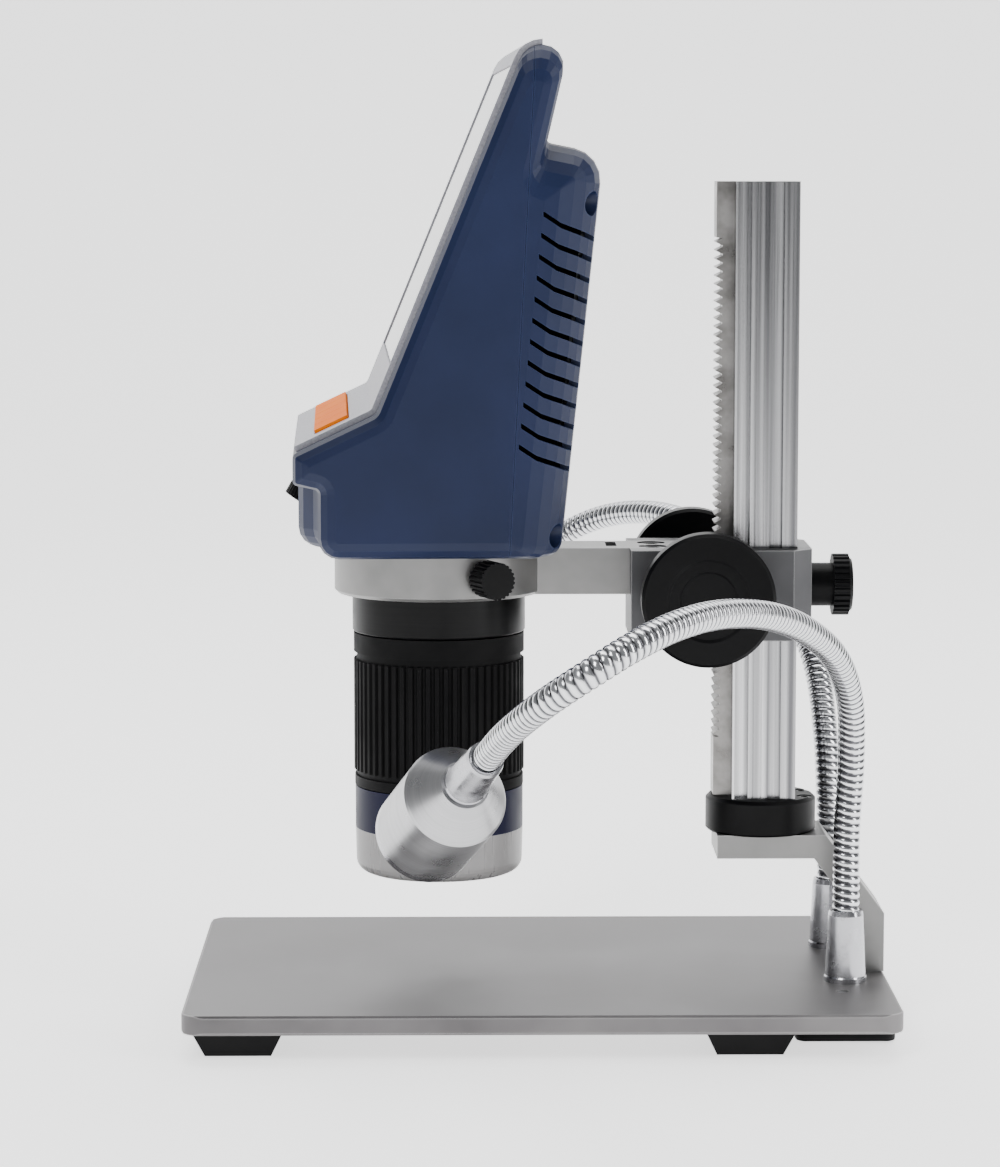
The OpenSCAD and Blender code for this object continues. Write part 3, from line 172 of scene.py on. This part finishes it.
def hobbed_steel():
    # Steel rack and pinion, teeth hobbed across: cutter marks 0.3 mm apart and a film of grease.
    m, t, s, where = finish("hobbed_steel", "#8c8a88", Metallic=1.0, Roughness=0.34)
    across = add(t, "ShaderNodeMapping", {"Vector": where, "Scale": (0.02, 1.0, 1.0)})
    marks = add(t, "ShaderNodeTexNoise", {"Vector": across, "Scale": 1 / (0.3 * MM), "Detail": 2.0})
    film = add(t, "ShaderNodeTexNoise", {"Vector": where, "Scale": 1 / (7 * MM), "Detail": 3.0})
    add(t, "ShaderNodeValToRGB", {"Fac": film}, stops=[(0.35, "#6f6d6b"), (0.65, "#9c9a98")],
        to=s.inputs["Base Color"])
    add(t, "ShaderNodeMapRange", {"Value": film, "From Min": 0.3, "From Max": 0.7, "To Min": 0.24,
                                  "To Max": 0.44}, to=s.inputs["Roughness"])
    add(t, "ShaderNodeBump", {"Height": marks, "Distance": 0.03 * MM, "Strength": 0.3},
        to=s.inputs["Normal"])
    return m


def turned(name, dark, light, centre, axis, metallic, roughness, gloss=0.5):
    # Turned on a lathe and anodised: rings 0.4 mm apart round the piece's own axis, so the pattern is
    # laid along that axis and stretched across it.
    m, t, s, where = finish(name, light, Metallic=metallic, Roughness=roughness,
                            Specular_IOR_Level=gloss)
    turn = Vector(axis).to_track_quat("Z", "Y").to_euler()
    own = add(t, "ShaderNodeMapping", {"Vector": where, "Location": tuple(centre), "Rotation": turn,
                                       "Scale": (60.0, 60.0, 1.0)}, vector_type="TEXTURE")
    rings = add(t, "ShaderNodeTexNoise", {"Vector": own, "Scale": 1 / (0.4 * MM), "Detail": 2.0})
    cloud = add(t, "ShaderNodeTexNoise", {"Vector": where, "Scale": 1 / (9 * MM), "Detail": 2.0})
    add(t, "ShaderNodeValToRGB", {"Fac": rings}, stops=[(0.3, dark), (0.7, light)],
        to=s.inputs["Base Color"])
    add(t, "ShaderNodeMapRange", {"Value": cloud, "From Min": 0.3, "From Max": 0.7,
                                  "To Min": roughness * 0.85, "To Max": roughness * 1.15},
        to=s.inputs["Roughness"])
    add(t, "ShaderNodeBump", {"Height": rings, "Distance": 0.01 * MM, "Strength": 0.2},
        to=s.inputs["Normal"])
    return m


def wound_chrome():
    # Chrome-plated steel strip, wound into a hose: bright on each turn, with painted shade dark in
    # the grooves between them. The height attribute is 0 in a groove and 1 on a turn.
    m, t, s, where = finish("chrome_wound_strip", "#cfd0d3", Metallic=1.0, Roughness=0.16)
    height = add(t, "ShaderNodeAttribute", attribute_name="height").outputs["Fac"]
    haze = add(t, "ShaderNodeTexNoise", {"Vector": where, "Scale": 1 / (4 * MM), "Detail": 3.0})
    # The ramp paints the grooves dark: painted shade.
    add(t, "ShaderNodeValToRGB", {"Fac": height},
        stops=[(0.0, "#17171a"), (0.45, "#5c5c60"), (0.75, "#c4c5c8"), (1.0, "#e4e5e8")],
        to=s.inputs["Base Color"])
    add(t, "ShaderNodeMapRange", {"Value": haze, "From Min": 0.3, "From Max": 0.7, "To Min": 0.12,
                                  "To Max": 0.26}, to=s.inputs["Roughness"])
    return m


def plated(name, dark, light, roughness):
    # Nickel or zinc plating on brass or steel: bright, with a polishing haze 3 mm across.
    m, t, s, where = finish(name, light, Metallic=1.0, Roughness=roughness)
    haze = add(t, "ShaderNodeTexNoise", {"Vector": where, "Scale": 1 / (3 * MM), "Detail": 3.0})
    add(t, "ShaderNodeValToRGB", {"Fac": haze}, stops=[(0.3, dark), (0.7, light)],
        to=s.inputs["Base Color"])
    add(t, "ShaderNodeMapRange", {"Value": haze, "From Min": 0.3, "From Max": 0.7,
                                  "To Min": roughness * 0.7, "To Max": roughness * 1.4},
        to=s.inputs["Roughness"])
    return m


def blackened(name, dark, light, metallic, roughness, grain, depth):
    # Black moulded plastic, rubber or black-anodised metal: a spark or mould grain of the given
    # size in mm, painted a little greyer along its edges as a highlight.
    m, t, s, where = finish(name, dark, Metallic=metallic, Roughness=roughness,
                            Specular_IOR_Level=0.12)
    skin = add(t, "ShaderNodeTexNoise", {"Vector": where, "Scale": 1 / (grain * MM), "Detail": 2.0})
    touch = add(t, "ShaderNodeTexNoise", {"Vector": where, "Scale": 1 / (12 * MM), "Detail": 3.0})
    edge_highlight = add(t, "ShaderNodeMapRange", {"Value": painted_edge_highlight(t, 0.4), "To Min": 0.0, "To Max": 0.5})
    mix = add(t, "ShaderNodeMix", {0: edge_highlight, 6: tone(dark), 7: tone(light)}, data_type="RGBA")
    t.links.new(mix.outputs[2], s.inputs["Base Color"])
    add(t, "ShaderNodeMapRange", {"Value": touch, "From Min": 0.3, "From Max": 0.7,
                                  "To Min": roughness * 0.85, "To Max": roughness * 1.15},
        to=s.inputs["Roughness"])
    add(t, "ShaderNodeBump", {"Height": skin, "Distance": depth * MM, "Strength": 0.4},
        to=s.inputs["Normal"])
    return m


def navy_abs():
    # ABS, moulded against a fine spark-eroded tool and dark blue all through: a satin skin with a
    # grain of 0.45 mm, painted paler along its edges as a highlight.
    m, t, s, where = finish("navy_abs_shell", "#141c36", Roughness=0.42, Specular_IOR_Level=0.22)
    skin = add(t, "ShaderNodeTexNoise", {"Vector": where, "Scale": 1 / (0.45 * MM), "Detail": 2.0})
    cloud = add(t, "ShaderNodeTexNoise", {"Vector": where, "Scale": 1 / (35 * MM), "Detail": 3.0})
    tint = add(t, "ShaderNodeValToRGB", {"Fac": cloud}, stops=[(0.3, "#111a34"), (0.7, "#16203e")])
    edge_highlight = add(t, "ShaderNodeMapRange", {"Value": painted_edge_highlight(t, 0.5), "To Min": 0.0, "To Max": 0.3})
    mix = add(t, "ShaderNodeMix", {0: edge_highlight, 6: tint, 7: tone("#35456a")}, data_type="RGBA")
    t.links.new(mix.outputs[2], s.inputs["Base Color"])
    add(t, "ShaderNodeMapRange", {"Value": cloud, "From Min": 0.3, "From Max": 0.7, "To Min": 0.35,
                                  "To Max": 0.45}, to=s.inputs["Roughness"])
    add(t, "ShaderNodeBump", {"Height": skin, "Distance": 0.02 * MM, "Strength": 0.35},
        to=s.inputs["Normal"])
    return m


def silver_lacquer():
    # Moulded ABS panel under silver lacquer: fine aluminium flakes, 0.3 mm as drawn and finer in
    # truth, give a pearly grey.
    m, t, s, where = finish("silver_lacquer_panel", "#9c9ca4", Metallic=0.35, Roughness=0.4)
    flake = add(t, "ShaderNodeTexVoronoi", {"Vector": where, "Scale": 1 / (0.3 * MM)})
    add(t, "ShaderNodeMapRange", {"Value": flake, "From Min": 0.0, "From Max": 0.7, "To Min": 0.34,
                                  "To Max": 0.46}, to=s.inputs["Roughness"])
    cloud = add(t, "ShaderNodeTexNoise", {"Vector": where, "Scale": 1 / (0.6 * MM), "Detail": 1.0})
    add(t, "ShaderNodeValToRGB", {"Fac": cloud}, stops=[(0.35, "#94949c"), (0.65, "#a4a4ac")],
        to=s.inputs["Base Color"])
    return m


def orange_key():
    # Key caps of orange ABS with a soft-touch coat: matt, with a mould grain of 0.4 mm.
    m, t, s, where = finish("orange_soft_key", "#ff7a00", Roughness=0.6, Specular_IOR_Level=0.05)
    skin = add(t, "ShaderNodeTexNoise", {"Vector": where, "Scale": 1 / (0.4 * MM), "Detail": 2.0})
    touch = add(t, "ShaderNodeTexNoise", {"Vector": where, "Scale": 1 / (6 * MM), "Detail": 2.0})
    add(t, "ShaderNodeValToRGB", {"Fac": touch}, stops=[(0.3, "#fb7600"), (0.7, "#ff8408")],
        to=s.inputs["Base Color"])
    add(t, "ShaderNodeBump", {"Height": skin, "Distance": 0.015 * MM, "Strength": 0.3},
        to=s.inputs["Normal"])
    return m


def frosted_acrylic():
    # Clear acrylic, milky from its mould and from wiping: draw lines 2 mm apart run down it.
    m, t, s, where = finish("frosted_acrylic_hood", "#9e9c9c", Roughness=0.34,
                            Transmission_Weight=0.25, IOR=1.49)
    down = add(t, "ShaderNodeMapping", {"Vector": where, "Scale": (1.0, 1.0, 0.04)})
    lines = add(t, "ShaderNodeTexNoise", {"Vector": down, "Scale": 1 / (2 * MM), "Detail": 2.0})
    add(t, "ShaderNodeMapRange", {"Value": lines, "From Min": 0.3, "From Max": 0.7, "To Min": 0.22,
                                  "To Max": 0.4}, to=s.inputs["Roughness"])
    return m


def clear(name, code, ior):
    # Polished glass or acrylic, with a trace of wiping marks 6 mm across in its gloss.
    m, t, s, where = finish(name, code, Roughness=0.03, Transmission_Weight=0.9, IOR=ior)
    wipe = add(t, "ShaderNodeTexNoise", {"Vector": where, "Scale": 1 / (6 * MM), "Detail": 2.0})
    add(t, "ShaderNodeMapRange", {"Value": wipe, "From Min": 0.3, "From Max": 0.7, "To Min": 0.02,
                                  "To Max": 0.07}, to=s.inputs["Roughness"])
    return m


def circuit_board():
    # Glass-epoxy board under green solder mask, its tracks 1 mm apart showing through.
    m, t, s, where = finish("green_solder_mask", "#1f5d3a", Roughness=0.35)
    add(t, "ShaderNodeTexBrick", {"Vector": where, "Color1": tone("#1f5d3a"),
                                  "Color2": tone("#246a43"), "Mortar": tone("#2f7d50"),
                                  "Scale": 1 / (4 * MM)}, to=s.inputs["Base Color"])
    return m


def small_part(name, dark, light, metallic, roughness, grain):
    # A small or inner part in its own colour, mottled at the given size in mm.
    m, t, s, where = finish(name, light, Metallic=metallic, Roughness=roughness)
    mottle = add(t, "ShaderNodeTexNoise", {"Vector": where, "Scale": 1 / (grain * MM), "Detail": 2.0})
    add(t, "ShaderNodeValToRGB", {"Fac": mottle}, stops=[(0.3, dark), (0.7, light)],
        to=s.inputs["Base Color"])
    add(t, "ShaderNodeMapRange", {"Value": mottle, "From Min": 0.3, "From Max": 0.7,
                                  "To Min": roughness * 0.85, "To Max": roughness * 1.15},
        to=s.inputs["Roughness"])
    return m


def middle(name):
    """Centre of a node's box."""
    low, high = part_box(name)
    return (low + high) / 2


block_metal = beaded_aluminium("grey_anodised_block", "#454547", "#565658")
bright_block = beaded_aluminium("beaded_aluminium_bracket", "#7c7c7b", "#969594")
nickel = plated("nickel_plated_brass", "#acacb0", "#bcbcc0", 0.22)
zinc = plated("zinc_plated_screw", "#858588", "#a4a4a6", 0.36)
oxide = blackened("black_oxide_screw", "#161617", "#4a4a4c", 0.8, 0.4, 0.4, 0.02)
black_metal = blackened("black_anodised_metal", "#050506", "#1c1c1e", 0.0, 0.42, 0.5, 0.02)
black_case = blackened("black_abs_case", "#08080a", "#1c1c1e", 0.0, 0.5, 0.5, 0.03)
rubber = blackened("black_rubber", "#060607", "#161617", 0.0, 0.62, 0.7, 0.03)
glass = clear("polished_lens_glass", "#e8eef4", 1.52)
cover = clear("display_cover_glass", "#c8ccd2", 1.5)
board = circuit_board()
led_white = small_part("white_led_board", "#dadad4", "#ecece8", 0.0, 0.4, 2)
blue_band = blackened("dark_blue_band", "#12132e", "#22244e", 0.0, 0.4, 0.5, 0.01)

paint(beaded_plate(), "base_plate")
paint(bright_block, "stand_bracket", "head_arm")
paint(block_metal, "carriage_block")
paint(drawn_section(), "column")
paint(hobbed_steel(), "rack", "pinion_shaft")
paint(nickel, "foot_ferrules", "lamp_ferrule_near", "lamp_ferrule_far", "lamp_bezel_near",
      "lamp_bezel_far")
paint(zinc, "foot_screws", "case_screws", "ferrule_nuts", "bracket_screws")
paint(oxide, "collar_screws", "arm_screws", "shell_screws")
paint(black_metal, "height_knob_near", "height_knob_far", "column_lock_screw", "ring_lock_screw",
      "dimmer_wheel", "column_collar")
paint(black_case, "driver_case")
paint(rubber, "rubber_feet", "focus_ring")
paint(turned("black_anodised_barrel", "#050506", "#0a0a0b", middle("barrel_tube"), (0, 0, 1), 0.0,
             0.34, 0.15), "barrel_flange", "barrel_tube", "lens_cell")
for side in ("near", "far"):
    way = middle("lamp_bezel_" + side) - middle("lamp_ferrule_" + side)
    paint(turned("turned_lamp_aluminium_" + side, "#aeaeb0", "#bababc",
                 middle("lamp_housing_" + side), way, 0.95, 0.3), "lamp_housing_" + side)
paint(navy_abs(), "front_shell", "rear_shell")
paint(silver_lacquer(), "front_panel")
paint(orange_key(), "key_1", "key_2", "key_3", "key_4", "key_5")
paint(blue_band, "barrel_band")
paint(frosted_acrylic(), "hood")
paint(glass, "objective_lens", "lamp_lens_near", "lamp_lens_far")
paint(cover, "display_glass")
paint(small_part("idle_display", "#343a42", "#454c55", 0.0, 0.25, 60), "lcd_module")
paint(board, "driver_board", "main_board", "key_board", "sensor_board")
paint(led_white, "led_ring", "lamp_led_near", "lamp_led_far")
paint(small_part("sintered_bronze", "#8f6c3a", "#a98450", 1.0, 0.35, 0.6), "pinion_bushes")
paint(small_part("battery_foil", "#a8a8ac", "#bebec2", 0.4, 0.4, 6), "battery")
paint(small_part("tinned_socket", "#a2a2a6", "#b8b8bc", 0.9, 0.3, 3), "side_sockets")


# ---- new pieces: surfaces worked out as whole arrays ----

def surface(name, grid, material, body):
    """A mesh over a grid of points [rows, columns, 3]: a quad between each four neighbours, the
    last column joined to the first, and each end row closed by a fan about its middle."""
    rows, cols = grid.shape[:2]
    r, c = np.meshgrid(np.arange(rows - 1), np.arange(cols), indexing="ij")
    after = (c + 1) % cols
    quads = np.stack([r * cols + c, r * cols + after, (r + 1) * cols + after, (r + 1) * cols + c], -1)
    first, last, k = rows * cols, rows * cols + 1, np.arange(cols)
    fans = np.concatenate([np.stack([np.full(cols, first), (k + 1) % cols, k], 1),
                           np.stack([np.full(cols, last), (rows - 1) * cols + k,
                                     (rows - 1) * cols + (k + 1) % cols], 1)])
    points = np.vstack([grid.reshape(-1, 3), grid[0].mean(0), grid[-1].mean(0)])
    mesh = bpy.data.meshes.new(name)
    mesh.from_pydata(points.tolist(), [], quads.reshape(-1, 4).tolist() + fans.tolist())
    mesh.polygons.foreach_set("use_smooth", np.ones(len(mesh.polygons), bool))
    mesh.update()
    mesh.materials.append(material)
    piece = bpy.data.objects.new(name, mesh)
    bpy.context.scene.collection.objects.link(piece)
    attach(piece, body)
    return piece


def eased(route, steps):
    """Catmull-Rom curve through the route: the cubic whose slope at a point is half the step
    between its neighbours."""
    p = np.vstack([route[0], route, route[-1]])
    u = np.linspace(0, 1, steps, endpoint=False)[None, :, None]
    a, b, c, d = (p[k:len(p) - 3 + k, None] for k in range(4))
    legs = 0.5 * (2 * b + (c - a) * u + (2 * a - 5 * b + 4 * c - d) * u ** 2
                  + (3 * b - a - 3 * c + d) * u ** 3)
    return np.vstack([legs.reshape(-1, 3), route[-1:]])


PITCH = 2.0 * MM    # from one turn of the strip to the next
HOSE_R = 3.5 * MM   # over the turns
GROOVE = 0.5 * MM   # depth of the groove between them


def wound_hose(name, route, body, stands_for):
    """Strip wound round a curve: the radius at a distance s along it and an angle a round it is
    HOSE_R - GROOVE * (1 - h), where the height h = sqrt(sin(pi * f)) and f is the fraction of a
    turn in s / PITCH + a / 2 pi, so each turn is a rounded band beside the next."""
    path = eased(np.array(route, float) * MM, 24)
    length = np.concatenate([[0], np.cumsum(np.linalg.norm(np.diff(path, axis=0), axis=1))])
    rows, sides = int(length[-1] / PITCH * 10), 40
    s = np.linspace(0, length[-1], rows)
    p = np.stack([np.interp(s, length, path[:, k]) for k in range(3)], 1)
    t = np.gradient(p, axis=0)
    t /= np.linalg.norm(t, axis=1, keepdims=True)
    across = np.cross(t, (1.0, 0.0, 0.0))
    across /= np.linalg.norm(across, axis=1, keepdims=True)
    up = np.cross(t, across)
    a = np.linspace(0, 2 * np.pi, sides, endpoint=False)
    height = np.sqrt(np.sin(np.pi * ((s[:, None] / PITCH + a / (2 * np.pi)) % 1.0)))
    r = (HOSE_R - GROOVE * (1 - height))[..., None]
    grid = p[:, None] + r * (np.cos(a)[:, None] * across[:, None] + np.sin(a)[:, None] * up[:, None])
    piece = surface(name, grid, chrome, body)
    band = piece.data.attributes.new("height", "FLOAT", "POINT")
    band.data.foreach_set("value", np.append(height.ravel(), [0, 0]).astype(np.float32))
    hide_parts(stands_for)
    return piece


chrome = wound_chrome()
# Middle of each hose in mm, from its foot to its lamp
NEAR_ROUTE = [(79, -21, 22.8), (79, -21, 34), (79, -21.5, 52), (79.5, -25, 70), (78, -34, 87),
              (72.5, -50, 100), (63, -70, 109.5), (52, -90, 115.5), (40, -110, 118.3), (29, -127, 118),
              (18.5, -139, 114.8), (8.5, -143.5, 109.3), (-0.5, -138.5, 102.5), (-6.7, -127, 95.8),
              (-10.7, -115, 90), (-13.7, -104.7, 84.6), (-16.4, -96.3, 79.8)]
FAR_ROUTE = [(79, 21, 22.8), (79, 21, 34), (78.6, 21.5, 52), (77.8, 25, 70), (75.8, 34, 87),
             (70.5, 50, 100.5), (61.5, 70, 110.5), (51, 90, 117), (39.5, 110, 120), (28.5, 127, 119),
             (18, 139, 115.2), (8, 143.5, 109.3), (-0.8, 138.5, 102.5), (-6.9, 127, 95.8),
             (-10.7, 115, 90), (-13.7, 104.7, 84.6), (-16.4, 96.3, 79.8)]
SHIFT = np.array([-0.1, 0, 0])
wound_hose("wound_hose_near", np.array(NEAR_ROUTE) + SHIFT, "near_lamp", "gooseneck_near")
wound_hose("wound_hose_far", np.array(FAR_ROUTE) + SHIFT, "far_lamp", "gooseneck_far")


HEAD_TURN = math.radians(2)     # of the head about the barrel's axis
# A black sheet behind the vent slots: painted shade that keeps them dark.
SHADE_SHEET = [(16, 18), (27.8, 18), (35.4, 88), (16, 88)]   # x from that axis, z over the shell's foot
SHADE_SHEET_Y = (-36.4, -36)           # its two faces, 0.4 mm apart


def vent_shade_sheet():
    """A black sheet on edge between the battery and the slots, painted shade for the dark inside behind
    them, in mm: a flat outline at two depths,
    turned with the head: x' = x cos t - y sin t, y' = x sin t + y cos t."""
    axis, foot = middle("barrel_tube"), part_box("rear_shell")[0][2]
    corners = [(x, y, z) for y in SHADE_SHEET_Y for x, z in SHADE_SHEET]
    c, q = math.cos(HEAD_TURN), math.sin(HEAD_TURN)
    points = [(axis[0] + (x * c - y * q) * MM, axis[1] + (x * q + y * c) * MM, foot + z * MM)
              for x, y, z in corners]
    edges = [(k, k + 4, (k + 1) % 4 + 4, (k + 1) % 4) for k in range(4)]
    mesh = bpy.data.meshes.new("vent_shade_sheet")
    mesh.from_pydata(points, [], [(0, 1, 2, 3), (7, 6, 5, 4)] + edges)
    mesh.materials.append(blackened("black_vent_shade_sheet", "#050506", "#101011", 0.0, 0.5,
                                    0.6, 0.01))
    piece = bpy.data.objects.new("vent_shade_sheet", mesh)
    bpy.context.scene.collection.objects.link(piece)
    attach(piece, "head")


vent_shade_sheet()


# ---- studio ----

def studio_sweep():
    """A white floor that curves up behind the part: z = 0.9 (y - 1)^2 beyond y = 1 m."""
    x, y = np.meshgrid(np.linspace(-3, 3, 30), np.concatenate([np.linspace(-2.5, 1.0, 20),
                                                               np.linspace(1.1, 3.0, 40)]), indexing="ij")
    z = 0.9 * np.maximum(0, y - 1.0) ** 2 - 0.0001
    i, j = np.meshgrid(np.arange(x.shape[0] - 1), np.arange(x.shape[1] - 1), indexing="ij")
    a, n = (i * x.shape[1] + j).ravel(), x.shape[1]
    mesh = bpy.data.meshes.new("studio_sweep")
    mesh.from_pydata(np.stack([x, y, z], -1).reshape(-1, 3).tolist(), [],
                     np.stack([a, a + n, a + n + 1, a + 1], 1).tolist())
    mesh.polygons.foreach_set("use_smooth", np.ones(len(mesh.polygons), bool))
    sweep = bpy.data.objects.new("studio_sweep", mesh)
    bpy.context.scene.collection.objects.link(sweep)
    # Matt white paper, lit through from behind so that it stays pale under the part.
    paper = finish("white_paper", "#f8f8f8", Roughness=0.9,
                   Emission_Color=tone("#ffffff"), Emission_Strength=1.4)[0]
    mesh.materials.append(paper)


def softbox(name, at, aim, size, power):
    """A rectangular soft light at one point, aimed at another."""
    lamp = bpy.data.lights.new(name, "AREA")
    lamp.shape, lamp.size, lamp.size_y, lamp.energy = "RECTANGLE", size[0], size[1], power
    light = bpy.data.objects.new(name, lamp)
    light.location = at
    light.rotation_euler = (Vector(aim) - Vector(at)).to_track_quat("-Z", "Y").to_euler()
    bpy.context.scene.collection.objects.link(light)


studio_sweep()
world = bpy.data.worlds.new("studio_air")
world.use_nodes = True
world.node_tree.nodes["Background"].inputs["Color"].default_value = tone("#f2f4f6")
world.node_tree.nodes["Background"].inputs["Strength"].default_value = 0.3
bpy.context.scene.world = world
softbox("key_softbox", (-0.7, -1.1, 1.2), (0, 0, 0.1), (0.5, 0.7), 12)
softbox("strip_softbox", (1.0, -0.5, 0.6), (0, 0, 0.1), (0.25, 1.0), 8)
softbox("top_softbox", (0, 0.3, 1.3), (0, 0, 0.1), (1.2, 0.8), 13)

FOCAL_PX = 3641                 # focal length in pixels of the photograph
PHOTO_W, PHOTO_H = 1000, 1167
SIGHT_COL, SIGHT_ROW = 460, 160  # where the level line of sight meets the photograph
SENSOR_W = 36

camera = bpy.data.cameras.new("photo_camera")
camera.sensor_fit = "HORIZONTAL"
camera.sensor_width = SENSOR_W
camera.lens = FOCAL_PX / PHOTO_W * SENSOR_W
camera.clip_start, camera.clip_end = 0.01, 20
eye = bpy.data.objects.new("photo_camera", camera)
eye.location = (-20.4 * MM, -942.5 * MM, 222.4 * MM)
down = math.atan((PHOTO_H / 2 - SIGHT_ROW) / FOCAL_PX)
right = math.atan((PHOTO_W / 2 - SIGHT_COL) / FOCAL_PX)
look = Vector((math.sin(right) * math.cos(down), math.cos(right) * math.cos(down), -math.sin(down)))
eye.rotation_euler = look.to_track_quat("-Z", "Y").to_euler()
bpy.context.scene.collection.objects.link(eye)
bpy.context.scene.camera = eye
